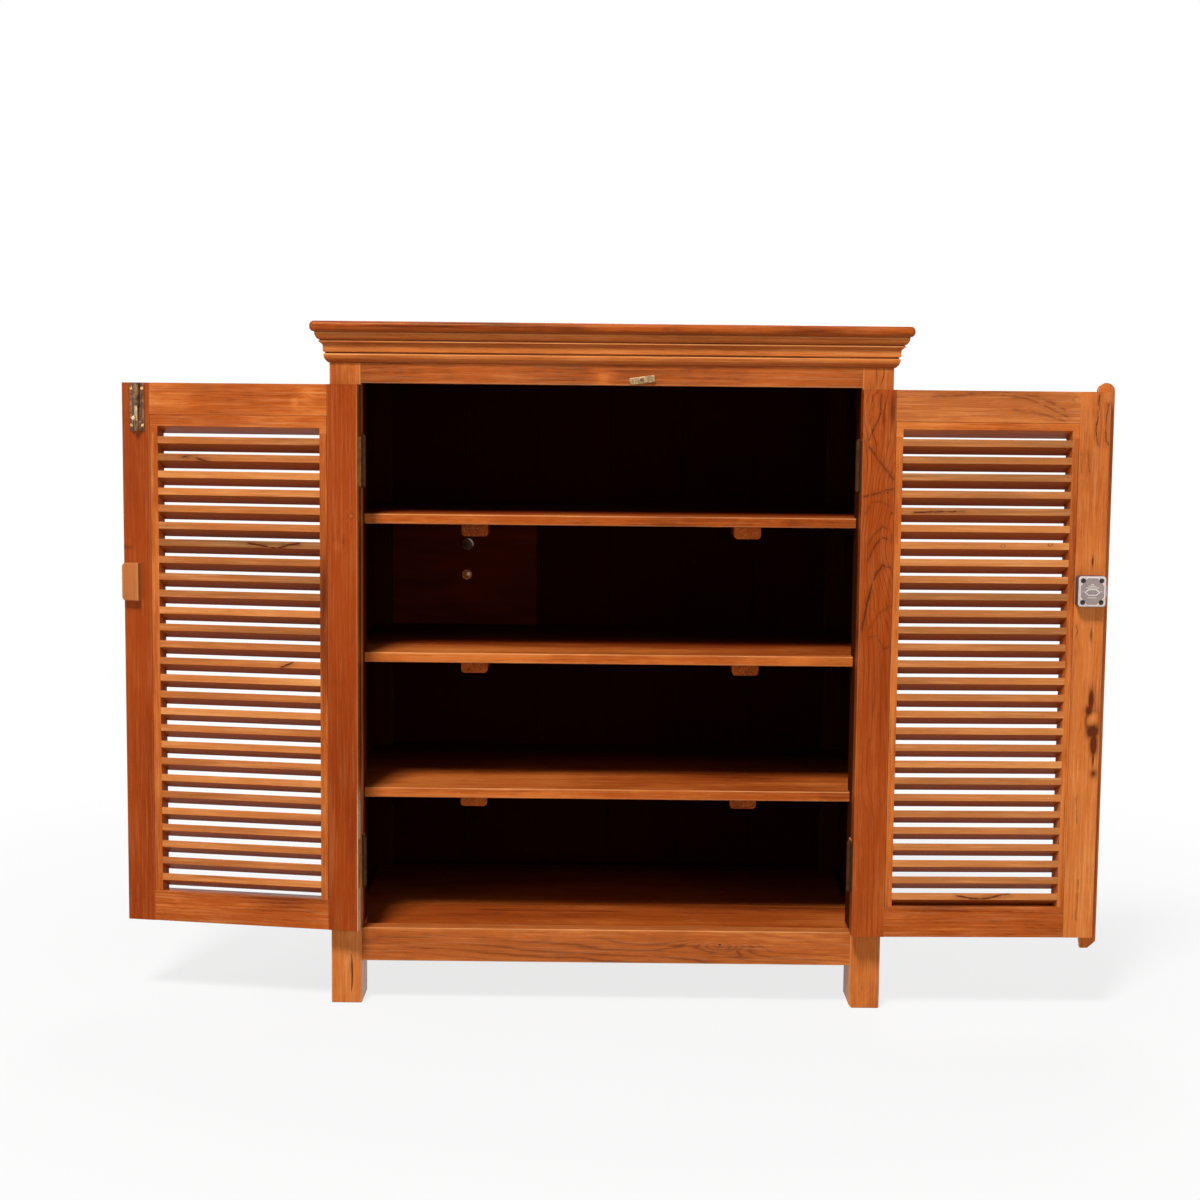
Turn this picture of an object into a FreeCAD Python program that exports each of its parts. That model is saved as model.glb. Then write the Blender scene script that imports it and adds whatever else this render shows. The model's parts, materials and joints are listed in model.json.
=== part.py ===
import FreeCAD, Part
import os
from math import cos, radians, sin

Vector = FreeCAD.Vector

# Louvred door cabinet. Millimetres, +Z up, the front faces -Y, +X to the right of someone
# standing in front of it. While building, y = 0 is the front face of the front posts; the
# finished pieces are moved by front_y so that the origin lies under the middle of the cabinet
# with both doors folded back.

front_y = -184.0

# Carcass
width = 741.0
depth = 406.0
height = 915.0
post_width = 41.0
front_post_depth = 60.0
rear_post_depth = 41.0
foot_chamfer = 1.1
top_thickness = 14.0
top_overhang = 23.5
opening_top = 835.0
front_top_rail_thickness = 32.0
bottom_rail_low = 59.0
bottom_rail_high = 104.5
bottom_rail_thickness = 22.0
rear_rail_front = 372.0
rear_rail_thickness = 22.0
side_rail_inset = 2.0
side_rail_thickness = 22.0
upper_rail_low = 850.0
panel_thickness = 8.0
panel_inset = 7.5
groove_depth = 6.0
tenon_gap = 0.2

# Cornice profile: how far it stands out from the posts, and the height
cornice_profile = [
    (0.0, 861.5), (1.2, 861.5), (2.6, 862.6), (4.6, 864.8), (6.0, 867.2), (6.8, 869.8),
    (6.8, 871.8), (6.4, 873.2), (4.9, 873.5), (4.9, 875.0), (7.6, 875.6), (7.6, 883.8),
    (8.6, 885.2), (10.4, 886.8), (12.4, 888.0), (12.4, 889.6), (11.4, 890.2), (11.4, 891.0),
    (13.6, 891.6), (15.6, 894.0), (16.9, 897.0), (17.4, 899.4), (17.4, 901.0), (0.0, 901.0),
]

# Floor, shelves and back
floor_top = 98.0
floor_thickness = 14.0
floor_joints = [154.0, 262.0]
shelf_tops = [661.5, 474.5, 289.5]
shelf_thickness = 13.5
shelf_front = 36.0
shelf_glue_lines = [[158.0, 276.0], [150.0, 270.0], [95.0, 240.0]]
batten_width = 36.0
batten_height = 18.0
batten_x = [-183.5, 187.0]
batten_front = 70.0
batten_back = 380.0
cleat_size = 18.0
back_board_count = 6
back_board_thickness = 10.0
board_gap = 0.4
tongue = 4.0
tongue_thickness = 3.0
patch_x = [-328.5, -110.0]
patch_top = 628.0
patch_thickness = 8.0
patch_shank_radius = 2.5
steel_bolt = (-214.8, 596.8)
brass_bolt = (-216.0, 550.3)

# Doors, in door coordinates: u from the hinge edge to the free edge, v from the outer face
# to the inner face, z up
door_width = 323.5
door_thickness = 18.0
door_bottom = 106.5
door_top = 833.0
door_rail_height = 41.5
strip_gap = 0.4
slat_face = 9.6
slat_drop = 11.3
slat_easing = 0.4
door_edge_x = 324.0
hinge_x = 325.5
hinge_y = -5.5
doors = {
    "left": {"hinge_stile": 41.0, "meeting_stile": 38.5, "strips": (10.0, 10.8), "splay": 1.8,
             "slat_ends": (48.5, 278.0), "bead": 776.0, "bead_back": 766.2,
             "first_slat": 762.8, "pitch": 22.7, "slats": 27, "rest_angle": -189.5},
    "right": {"hinge_stile": 43.0, "meeting_stile": 40.0, "strips": (9.8, 8.8), "splay": 4.0,
              "slat_ends": (49.8, 276.7), "bead": 782.1, "bead_back": 771.3,
              "first_slat": 769.9, "pitch": 22.33, "slats": 28, "rest_angle": 181.5},
}

# Hinges
hinge_length = 66.0
hinge_heights = [197.4, 732.8]
knuckle_radius = 3.5
pin_radius = 1.6
leaf_thickness = 1.6
post_leaf_width = 27.0
door_leaf_width = 22.0
knuckle_gap = 0.15
running_gap = 0.05

# Tower bolt on the left door, keeper block, lock and cover strip on the right door
tower_u = 301.9
tower_plate_width = 20.2
tower_low = 769.0
tower_high = 832.6
tower_rod_radius = 2.5
tower_rod_v = 22.1
tower_knob_z = 786.0
keeper_block = (300.0, 323.0, 18.0, 27.5, 543.0, 593.6)
lock_u = 302.9
lock_z = 573.2
lock_width = 36.7
lock_height = 40.5
lock_front = 33.5
lock_screw_offset = (12.1, 14.2)
barrel_u = 298.5
barrel_radius = 8.0
plug_radius = 5.0
astragal_u = (310.8, 333.2)
astragal_z = (87.4, 844.9)
astragal_thickness = 9.0
astragal_relief = 0.6
astragal_rounding = 2.0
astragal_clip = (10.9, 9.6)
astragal_taper = (1.7, 12.0)

# Turn button on the front top rail
button_x = 40.0
button_z = 842.5
button_length = 33.5
button_tilt = 8.0


half = width / 2
post_inner = half - post_width
rail_top = height - top_thickness


def box(x0, x1, y0, y1, z0, z1):
    return Part.makeBox(x1 - x0, y1 - y0, z1 - z0, Vector(x0, y0, z0))


def rod(start, direction, radius, length):
    return Part.makeCylinder(radius, length, Vector(*start), Vector(*direction))


def cone(start, direction, r0, r1, length):
    return Part.makeCone(r0, r1, length, Vector(*start), Vector(*direction))


def prism(points, extrusion):
    corners = [Vector(*p) for p in points]
    return Part.Face(Part.makePolygon(corners + corners[:1])).extrude(Vector(*extrusion))


def fuseAll(shapes):
    result = shapes[0].multiFuse(shapes[1:]) if len(shapes) > 1 else shapes[0]
    return result.removeSplitter()


def cutAll(shape, tools):
    for tool in tools:
        shape = shape.cut(tool)
    return shape


def edgesAlong(shape, direction):
    # the straight edges that run the whole length of the piece in one direction
    axis = Vector(*direction)
    found = [e for e in shape.Edges if e.Curve.TypeId == "Part::GeomLine"
             and abs(abs(e.tangentAt(e.FirstParameter).dot(axis)) - 1) < 1e-6]
    longest = max(e.Length for e in found)
    return [e for e in found if e.Length > longest - 0.01]


def eased(shape, radius, direction):
    return shape.makeFillet(radius, edgesAlong(shape, direction))


def mirrored(shape):
    return shape.mirror(Vector(0, 0, 0), Vector(1, 0, 0))


def group(shapes):
    return Part.makeCompound(shapes)


def grown(b, gap):
    return box(b[0] - gap, b[1] + gap, b[2] - gap, b[3] + gap, b[4] - gap, b[5] + gap)


def screw(point, direction, head_radius, head_height, shank_radius, length, gap=0.0):
    # countersunk wood screw: the head's face is at the point, the shank runs along direction
    tip = 3.0
    start = Vector(*point)
    along = Vector(*direction)
    head = cone(start, along, head_radius + gap, shank_radius + gap, head_height)
    shank = rod(start + along * head_height, along, shank_radius + gap, length - head_height - tip)
    point_cone = cone(start + along * (length - tip), along, shank_radius + gap, 0.3, tip)
    body = fuseAll([head, shank, point_cone])
    if gap == 0.0:
        side = Vector(0, 0, 1) if abs(along.z) < 0.5 else Vector(1, 0, 0)
        across = along.cross(side)
        slot = Part.makeBox(head_radius * 3, 0.6, 0.8)
        slot.translate(Vector(-head_radius * 1.5, -0.3, -0.4))
        turn = FreeCAD.Rotation(across, side, along, "ZXY")
        slot.Placement = FreeCAD.Placement(start, turn).multiply(slot.Placement)
        body = body.cut(slot)
    return body


pieces = {}


# ---- posts ----------------------------------------------------------------------------------

# tenons of the left-hand side as (x0, x1, y0, y1, z0, z1); the right-hand side mirrors them
side_rail_x = (-half + side_rail_inset, -half + side_rail_inset + side_rail_thickness)
panel_x = (-half + panel_inset, -half + panel_inset + panel_thickness)
rear_post_front = depth - rear_post_depth
tenons = {
    "front_top": (-post_inner - 22, -post_inner, 8, 20, opening_top + 8, rail_top - 8),
    "front_bottom": (-post_inner - 22, -post_inner, 6, 16, bottom_rail_low + 6, bottom_rail_high - 6),
    "rear_top": (-post_inner - 22, -post_inner, 378, 388, upper_rail_low + 6, rail_top - 8),
    "rear_bottom": (-post_inner - 22, -post_inner, 378, 388, bottom_rail_low + 6, bottom_rail_high - 6),
    "side_top_front": (panel_x[0], panel_x[1], front_post_depth - 20, front_post_depth,
                       upper_rail_low + 8, rail_top - 8),
    "side_top_rear": (panel_x[0], panel_x[1], rear_post_front, rear_post_front + 20,
                      upper_rail_low + 8, rail_top - 8),
    "side_bottom_front": (panel_x[0], panel_x[1], front_post_depth - 20, front_post_depth,
                          bottom_rail_low + 6, bottom_rail_high - 8),
    "side_bottom_rear": (panel_x[0], panel_x[1], rear_post_front, rear_post_front + 20,
                         bottom_rail_low + 6, bottom_rail_high - 8),
}
panel_box = (panel_x[0], panel_x[1], front_post_depth - groove_depth, rear_post_front + groove_depth,
             bottom_rail_high - groove_depth, upper_rail_low + groove_depth)


def makePost(y0, y1, inner_corner):
    post = box(-half, -post_inner, y0, y1, 0, rail_top)
    post = eased(post, 1.2, (0, 0, 1))
    base = [e for e in post.Edges if all(v.Point.z < 0.01 for v in e.Vertexes)]
    post = post.makeChamfer(foot_chamfer, base)
    if inner_corner:
        # the inner bottom corner of this foot is worn round
        wedge = prism([(-post_inner - 5, y0 - 1, -1), (-post_inner + 1, y0 - 1, -1),
                       (-post_inner + 1, y0 - 1, 6.5)], (0, y1 - y0 + 2, 0))
        post = post.cut(wedge)
    cuts = [grown(t, tenon_gap) for t in tenons.values()] + [grown(panel_box, tenon_gap)]
    return cutAll(post, cuts)


pieces["front_post_left"] = makePost(0, front_post_depth, False)
pieces["front_post_right"] = mirrored(makePost(0, front_post_depth, True))
pieces["rear_post_left"] = makePost(rear_post_front, depth, False)
pieces["rear_post_right"] = mirrored(makePost(rear_post_front, depth, False))


# ---- rails ----------------------------------------------------------------------------------

def crossRail(y0, y1, z0, z1, tenon_name):
    # a rail from post to post with a tenon at each end
    rail = eased(box(-post_inner, post_inner, y0, y1, z0, z1), 1.0, (1, 0, 0))
    left = box(*tenons[tenon_name])
    return fuseAll([rail, left, mirrored(left)])


def sideRail(z0, z1, front_name, rear_name):
    rail = box(side_rail_x[0], side_rail_x[1], front_post_depth, rear_post_front, z0, z1)
    rail = eased(rail, 1.0, (0, 1, 0))
    rail = fuseAll([rail, box(*tenons[front_name]), box(*tenons[rear_name])])
    groove = (panel_box[0], panel_box[1], front_post_depth - 1, rear_post_front + 1,
              panel_box[4], panel_box[5])
    return rail.cut(grown(groove, tenon_gap))


tower_x = -door_edge_x + tower_u
front_top_rail = crossRail(0, front_top_rail_thickness, opening_top, rail_top, "front_top")
keeper_plate = box(tower_x - 7, tower_x + 7, 12, 30, opening_top, opening_top + 1.2)
keeper_hole = rod((tower_x, tower_rod_v, opening_top - 1), (0, 0, 1), tower_rod_radius + 0.7, 22)
button_screw_hole = rod((button_x, -1, button_z), (0, 1, 0), 1.55, 17)
front_top_rail = cutAll(front_top_rail, [keeper_plate, keeper_hole, button_screw_hole])
pieces["front_top_rail"] = front_top_rail
pieces["tower_bolt_keeper"] = keeper_plate.cut(keeper_hole)
pieces["front_bottom_rail"] = crossRail(0, bottom_rail_thickness, bottom_rail_low, bottom_rail_high,
                                        "front_bottom")
rear_rail_back = rear_rail_front + rear_rail_thickness
pieces["rear_top_rail"] = crossRail(rear_rail_front, rear_rail_back, upper_rail_low, rail_top, "rear_top")
pieces["rear_bottom_rail"] = crossRail(rear_rail_front, rear_rail_back, bottom_rail_low,
                                       bottom_rail_high, "rear_bottom")
side_top_rail = sideRail(upper_rail_low, rail_top, "side_top_front", "side_top_rear")
side_bottom_rail = sideRail(bottom_rail_low, bottom_rail_high, "side_bottom_front", "side_bottom_rear")
pieces["side_top_rails"] = group([side_top_rail, mirrored(side_top_rail)])
pieces["side_bottom_rails"] = group([side_bottom_rail, mirrored(side_bottom_rail)])


# ---- side panels ----------------------------------------------------------------------------

def makePanel():
    # tongue-and-groove boards read as one panel with two V-grooves on each face
    panel = box(*panel_box)
    third = (rear_post_front - front_post_depth) / 3
    for k in (1, 2):
        y = front_post_depth + third * k
        for x, side in ((panel_x[0], 1), (panel_x[1], -1)):
            vee = prism([(x - side * 0.1, y - 1.3, panel_box[4] - 1), (x + side * 1.2, y, panel_box[4] - 1),
                         (x - side * 0.1, y + 1.3, panel_box[4] - 1)],
                        (0, 0, panel_box[5] - panel_box[4] + 2))
            panel = panel.cut(vee)
    return panel


pieces["side_panel_left"] = makePanel()
pieces["side_panel_right"] = mirrored(makePanel())


# ---- top board and cornice ------------------------------------------------------------------

def makeTopBoard():
    # rounded on the front and both ends, square at the back
    board = box(-half - top_overhang, half + top_overhang, -top_overhang, depth, rail_top, height)
    corners = [e for e in edgesAlong(board, (0, 0, 1)) if e.Vertexes[0].Y < 0]
    board = board.makeFillet(5.0, corners)
    nosed = [e for e in board.Edges
             if e.BoundBox.ZLength < 0.01 and e.BoundBox.YMin < depth - 0.01]
    return board.makeFillet(top_thickness / 2 - 1.0, nosed)


def mitreWedge(points):
    return prism([(x, y, 850.0) for x, y in points], (0, 0, 60))


# the moulding runs past the corners and is then cut to its mitres
reach = top_overhang
front_run = prism([(-half - reach, -p, z) for p, z in cornice_profile], (width + 2 * reach, 0, 0))
side_run = prism([(-half - p, -reach, z) for p, z in cornice_profile], (0, depth + reach, 0))
front_wedge = mitreWedge([(-half - reach, -reach), (half + reach, -reach), (half, 0), (-half, 0)])
side_wedge = mitreWedge([(-half - reach, -reach), (-half, 0), (-half, depth), (-half - reach, depth)])
pieces["top_board"] = makeTopBoard()
pieces["cornice_front"] = front_run.common(front_wedge)
pieces["cornice_left"] = side_run.common(side_wedge)
pieces["cornice_right"] = mirrored(pieces["cornice_left"])


# ---- floor, shelves, battens and cleats -----------------------------------------------------

post_notches = []
for y0, y1 in ((-1, front_post_depth), (rear_post_front, depth + 1)):
    notch = box(-half - 1, -post_inner + 0.3, y0 - 0.3, y1 + 0.3, 0, rail_top)
    post_notches += [notch, mirrored(notch)]


def makeFloor():
    # three boards, the tongue of each in the groove of the one behind it
    inner = -side_rail_x[1] - 0.3
    edges = [bottom_rail_thickness + 0.1] + floor_joints + [rear_rail_front - 0.1]
    z0 = floor_top - floor_thickness
    middle = floor_top - floor_thickness / 2
    boards = []
    for y0, y1 in zip(edges, edges[1:]):
        board = box(-inner, inner, y0 + board_gap / 2, y1 - board_gap / 2, z0, floor_top)
        if y1 != edges[-1]:
            y = y1 - board_gap / 2
            board = board.fuse(box(-inner, inner, y, y + tongue, middle - tongue_thickness / 2,
                                   middle + tongue_thickness / 2))
        if y0 != edges[0]:
            board = board.cut(grown((-inner - 1, inner + 1, y0 - 1, y0 - board_gap / 2 + tongue,
                                     middle - tongue_thickness / 2, middle + tongue_thickness / 2), 0.1))
        boards.append(cutAll(board, post_notches))
    return group(boards)


def makeShelf(top, glue_lines):
    # boards glued edge to edge; a fine V marks each glue line on the top
    inner = -panel_x[1] - 0.5
    shelf = box(-inner, inner, shelf_front, rear_rail_back - 0.5, top - shelf_thickness, top)
    front = [e for e in edgesAlong(shelf, (1, 0, 0)) if e.Vertexes[0].Y < shelf_front + 0.01]
    shelf = shelf.makeFillet(1.5, front)
    for y in glue_lines:
        vee = prism([(-inner - 1, y - 0.7, top + 0.1), (-inner - 1, y, top - 0.7),
                     (-inner - 1, y + 0.7, top + 0.1)], (2 * inner + 2, 0, 0))
        shelf = shelf.cut(vee)
    return cutAll(shelf, post_notches)


def makeBatten(x, shelf_bottom):
    low = shelf_bottom - batten_height
    batten = box(x - batten_width / 2, x + batten_width / 2, batten_front, batten_back, low, shelf_bottom)
    lower = [e for e in edgesAlong(batten, (0, 1, 0)) if e.Vertexes[0].Z < low + 0.01]
    return batten.makeFillet(5.0, lower)


def makeCleat(x_wall, top):
    return box(x_wall, x_wall + cleat_size, front_post_depth + 0.3, rear_post_front - 0.3,
               top - cleat_size, top)


pieces["floor_boards"] = makeFloor()
battens = []
cleats = [makeCleat(side_rail_x[1], floor_top - floor_thickness)]
for number, (top, lines) in enumerate(zip(shelf_tops, shelf_glue_lines), 1):
    pieces["shelf_%d" % number] = makeShelf(top, lines)
    battens += [makeBatten(x, top - shelf_thickness) for x in batten_x]
    cleats.append(makeCleat(panel_x[1], top - shelf_thickness))
pieces["shelf_battens"] = group(battens)
pieces["side_cleats"] = group(cleats + [mirrored(c) for c in cleats])


# ---- back boards and patch board ------------------------------------------------------------

def patchScrewHole(position, gap):
    return rod((position[0], patch_front - 1, position[1]), (0, 1, 0), patch_shank_radius + gap, 18.0)


patch_front = rear_rail_back - patch_thickness
patch_holes = [patchScrewHole(steel_bolt, 0.05), patchScrewHole(brass_bolt, 0.05)]
board_width = 2 * (post_inner - 0.2) / back_board_count
back_middle = rear_rail_back + back_board_thickness / 2
tongue_y = (back_middle - tongue_thickness / 2, back_middle + tongue_thickness / 2)
back_z = (bottom_rail_low + 3, rail_top - 3)
back_boards = []
for k in range(back_board_count):
    x0 = -post_inner + 0.2 + k * board_width
    right_edge = x0 + board_width - board_gap / 2
    board = box(x0 + board_gap / 2, right_edge, rear_rail_back,
                rear_rail_back + back_board_thickness, *back_z)
    board = eased(board, 0.8, (0, 0, 1))
    if k < back_board_count - 1:
        board = fuseAll([board, box(right_edge - 1, right_edge + tongue, *tongue_y, *back_z)])
    if k > 0:
        groove = (x0 - 1, x0 - board_gap / 2 + tongue, *tongue_y, back_z[0] - 1, back_z[1] + 1)
        board = board.cut(grown(groove, 0.1))
    back_boards.append(cutAll(board, patch_holes))
pieces["back_boards"] = group(back_boards)

patch = box(patch_x[0], patch_x[1], patch_front, rear_rail_back, shelf_tops[1] + 0.1, patch_top)
pieces["back_patch_board"] = cutAll(patch, patch_holes)


def roundBolt(position, washer_radius, washer_height, head):
    x, z = position
    washer = rod((x, patch_front, z), (0, -1, 0), washer_radius, washer_height)
    shank = rod((x, patch_front, z), (0, 1, 0), patch_shank_radius, 16.0)
    return fuseAll([washer, shank, head])


def socketHead(position):
    x, z = position
    cap = rod((x, patch_front - 1.5, z), (0, -1, 0), 5.5, 5.0)
    rim = [e for e in cap.Edges if e.BoundBox.YMax < patch_front - 6]
    cap = cap.makeChamfer(0.8, rim)
    corners = [(x + 2.9 * cos(radians(60 * k)), patch_front - 6.6, z + 2.9 * sin(radians(60 * k)))
               for k in range(6)]
    return cap.cut(prism(corners, (0, 3.6, 0)))


def domeHead(position, radius, rise):
    x, z = position
    base = patch_front - 0.9
    ball_radius = (radius ** 2 + rise ** 2) / (2 * rise)
    ball = Part.makeSphere(ball_radius, Vector(x, base + ball_radius - rise, z))
    return ball.common(rod((x, base, z), (0, -1, 0), radius + 1, 12))


pieces["patch_bolt_steel"] = roundBolt(steel_bolt, 8.7, 1.6, socketHead(steel_bolt))
pieces["patch_bolt_brass"] = roundBolt(brass_bolt, 7.4, 1.0, domeHead(brass_bolt, 6.2, 4.4))


# ---- turn button ----------------------------------------------------------------------------

def makeButton():
    long_half = button_length / 2
    plate = eased(box(-long_half, long_half, -3.6, -1.0, -4.6, 4.6), 1.6, (0, 1, 0))
    boss = box(-5.0, 9.0, -5.2, -3.6, -3.9, 3.9)
    left_end = box(-long_half + 1.0, -long_half + 7.5, -4.8, -3.6, -3.9, 3.9)
    right_end = box(long_half - 4.5, long_half - 1.0, -4.4, -3.6, -3.6, 1.0)
    button = fuseAll([plate, boss, left_end, right_end])
    button = button.cut(rod((0, 0, 0), (0, -1, 0), 1.55, 8))
    button = button.cut(rod((0, -4.0, 0), (0, -1, 0), 3.0, 3))
    button.rotate(Vector(0, 0, 0), Vector(0, 1, 0), -button_tilt)
    button.translate(Vector(button_x, 0, button_z))
    return button


def makeButtonScrew():
    x, z = button_x, button_z
    washer = rod((x, 0, z), (0, -1, 0), 3.4, 0.9)
    shank = rod((x, 14, z), (0, -1, 0), 1.5, 18.2)
    head = rod((x, -4.1, z), (0, -1, 0), 2.7, 1.3)
    slot = box(x - 3, x + 3, -6, -4.8, z - 0.35, z + 0.35)
    return fuseAll([washer, shank, head]).cut(slot)


pieces["turn_button"] = makeButton()
pieces["turn_button_screw"] = makeButtonScrew()


# ---- hinges ---------------------------------------------------------------------------------

# Built for the left side round the pin at the origin: the post is towards -x, the door
# towards +x, the doors' thickness towards +y, and z = 0 is the hinge's middle
knuckle = hinge_length / 5
post_face = hinge_x - post_inner
door_face = hinge_x - door_edge_x
low = -hinge_length / 2
post_leaf_box = (post_face, post_face + leaf_thickness, 0.0, post_leaf_width, low, -low)
door_leaf_box = (door_face, door_face + leaf_thickness, 0.0, door_leaf_width, low, -low)
post_screw_spots = [(12.0, -22.0), (19.0, 0.0), (12.0, 22.0)]
door_screw_spots = [(12.5, -22.0), (16.0, 0.0), (12.5, 22.0)]


def makeLeaf(leaf_box, own, screw_tools):
    leaf = box(*leaf_box)
    barrels = []
    for k in range(5):
        z0 = low + k * knuckle
        if k % 2 == own:
            barrels.append(rod((0, 0, z0 + knuckle_gap), (0, 0, 1), knuckle_radius,
                               knuckle - 2 * knuckle_gap))
        else:
            leaf = leaf.cut(rod((0, 0, z0 - knuckle_gap), (0, 0, 1), knuckle_radius + 0.4,
                                knuckle + 2 * knuckle_gap))
    leaf = fuseAll([leaf] + barrels)
    leaf = leaf.cut(rod((0, 0, low - 1), (0, 0, 1), pin_radius + running_gap, hinge_length + 2))
    return cutAll(leaf, screw_tools)


def leafScrews(x_face, direction, spots, gap=0.0):
    return [screw((x_face, y, z), (direction, 0, 0), 2.8, 1.45, 1.3, 16.0, gap) for y, z in spots]


def makePin():
    stem = rod((0, 0, low - 0.3), (0, 0, 1), pin_radius, hinge_length + 0.6)
    heads = []
    for side in (-1, 1):
        start = (0, 0, side * (hinge_length / 2 + 0.05))
        heads.append(rod(start, (0, 0, side), 2.6, 1.0))
        heads.append(cone((0, 0, side * (hinge_length / 2 + 1.05)), (0, 0, side), 2.6, 1.2, 1.2))
    return fuseAll([stem] + heads)


post_screws = leafScrews(post_face + leaf_thickness, -1, post_screw_spots)
post_screw_tools = leafScrews(post_face + leaf_thickness, -1, post_screw_spots, 0.05)
door_screws = leafScrews(door_face, 1, door_screw_spots)
door_screw_tools = leafScrews(door_face, 1, door_screw_spots, 0.05)
post_leaf = makeLeaf(post_leaf_box, 0, post_screw_tools)
door_leaf = makeLeaf(door_leaf_box, 1, door_screw_tools)
pin = makePin()


def atHinges(shape):
    # copies at both hinges of the left side, doors closed
    copies = []
    for z in hinge_heights:
        placed = shape.copy()
        placed.translate(Vector(-hinge_x, hinge_y, z))
        copies.append(placed)
    return copies


def bothSides(shapes):
    return shapes + [mirrored(s) for s in shapes]


pieces["hinge_post_leaves"] = group(bothSides(atHinges(post_leaf)))
pieces["hinge_pins"] = group(bothSides(atHinges(pin)))
all_post_screws = [s for p in post_screws for s in atHinges(p)]
pieces["hinge_post_screws"] = group(bothSides(all_post_screws))
post_pockets = [s for p in post_screw_tools for s in atHinges(p)]
pieces["front_post_left"] = cutAll(pieces["front_post_left"], post_pockets)
pieces["front_post_right"] = cutAll(pieces["front_post_right"], [mirrored(s) for s in post_pockets])


# ---- doors ----------------------------------------------------------------------------------

def toDoor(shape):
    # from the closed left-hand position into door coordinates
    placed = shape.copy()
    placed.translate(Vector(door_edge_x, 0, 0))
    return placed


def makeSlats(spec, sill):
    # the ends of the slats are let into the strips; the lowest slat is planed to sit on the rail
    u0, u1 = spec["slat_ends"]
    v_out, v_in = 0.4, door_thickness - 0.4
    top = spec["first_slat"]
    section = [(u0, v_in, top), (u0, v_in, top - slat_face), (u0, v_out, top - slat_drop - slat_face),
               (u0, v_out, top - slat_drop)]
    first = eased(prism(section, (u1 - u0, 0, 0)), slat_easing, (1, 0, 0))
    slats = []
    for k in range(spec["slats"]):
        slat = first.copy()
        slat.translate(Vector(0, 0, -k * spec["pitch"]))
        slats.append(slat)
    slats[-1] = slats[-1].cut(box(u0, u1, 0, door_thickness, sill - door_rail_height, sill))
    return slats


def makeDoorFrame(spec):
    hs = spec["hinge_stile"]
    ms = door_width - spec["meeting_stile"]
    low_rail = door_bottom + door_rail_height
    high_rail = door_top - door_rail_height
    parts = {}
    tenon_v = (6.0, 12.0)
    rails = {}
    door_tenons = []
    for name, z0, z1 in (("bottom_rail", door_bottom, low_rail), ("top_rail", high_rail, door_top)):
        rail = eased(box(hs, ms, 0, door_thickness, z0, z1), 0.8, (1, 0, 0))
        ends = [(hs - 18, hs, tenon_v[0], tenon_v[1], z0 + 7, z1 - 7),
                (ms, ms + 18, tenon_v[0], tenon_v[1], z0 + 7, z1 - 7)]
        rails[name] = fuseAll([rail] + [box(*e) for e in ends])
        door_tenons += ends
    mortises = [grown(t, tenon_gap) for t in door_tenons]
    hinge_stile = eased(box(0, hs, 0, door_thickness, door_bottom, door_top), 0.8, (0, 0, 1))
    meeting = eased(box(ms, door_width, 0, door_thickness, door_bottom, door_top), 0.8, (0, 0, 1))
    leaf_pockets = []
    for z in hinge_heights:
        leaf_pockets.append(box(-1, leaf_thickness + 0.1, -1, hinge_y + door_leaf_width + 0.1,
                                z + low - 0.1, z - low + 0.1))
    screw_pockets = [toDoor(s) for t in door_screw_tools for s in atHinges(t)]
    parts["hinge_stile"] = cutAll(hinge_stile, mortises + leaf_pockets + screw_pockets)
    parts["meeting_stile"] = cutAll(meeting, mortises)
    parts["top_rail"] = rails["top_rail"]
    parts["bottom_rail"] = rails["bottom_rail"]

    # the strip beside the meeting stile is splayed, wider at its outer face
    slats = makeSlats(spec, low_rail)
    strip_inner = (hs + spec["strips"][0], ms - spec["strips"][1])
    v0, v1 = 0.2, door_thickness - 0.2
    strips = [box(hs + strip_gap, strip_inner[0], v0, v1, low_rail, high_rail),
              prism([(strip_inner[1] - spec["splay"], v0, low_rail), (ms - strip_gap, v0, low_rail),
                     (ms - strip_gap, v1, low_rail), (strip_inner[1], v1, low_rail)],
                    (0, 0, high_rail - low_rail))]
    u0 = strip_inner[0]
    bead = prism([(u0, v1, high_rail), (u0, v1, spec["bead"]), (u0, v0, spec["bead_back"]),
                  (u0, v0, high_rail)], (strip_inner[1] - u0, 0, 0)).cut(strips[1])
    parts["louvre_strips"] = group([strip.cut(group(slats)) for strip in strips] + [bead])
    parts["slats"] = group(slats)
    parts["hinge_leaves"] = group([toDoor(s) for s in atHinges(door_leaf)])
    parts["hinge_screws"] = group([toDoor(s) for p in door_screws for s in atHinges(p)])
    return parts


# ---- tower bolt and keeper block, in left-door coordinates ------------------------------------

def channel(z0, z1):
    # a half-round guide over the rod
    wall = 1.6
    outer = tower_rod_radius + wall
    foot = box(tower_u - outer, tower_u + outer, door_thickness + 0.6, tower_rod_v, z0, z1)
    return foot.fuse(rod((tower_u, tower_rod_v, z0), (0, 0, 1), outer, z1 - z0))


def makeTowerBolt():
    plate = box(tower_u - tower_plate_width / 2, tower_u + tower_plate_width / 2,
                door_thickness, door_thickness + 1.2, tower_low, tower_high)
    plate = eased(plate, 1.5, (0, 1, 0))
    body = fuseAll([plate, channel(tower_low, 783.0), channel(803.0, tower_high)])
    bore = rod((tower_u, tower_rod_v, tower_low - 1), (0, 0, 1), tower_rod_radius + 0.07, 70)
    return body.cut(bore)


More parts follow.
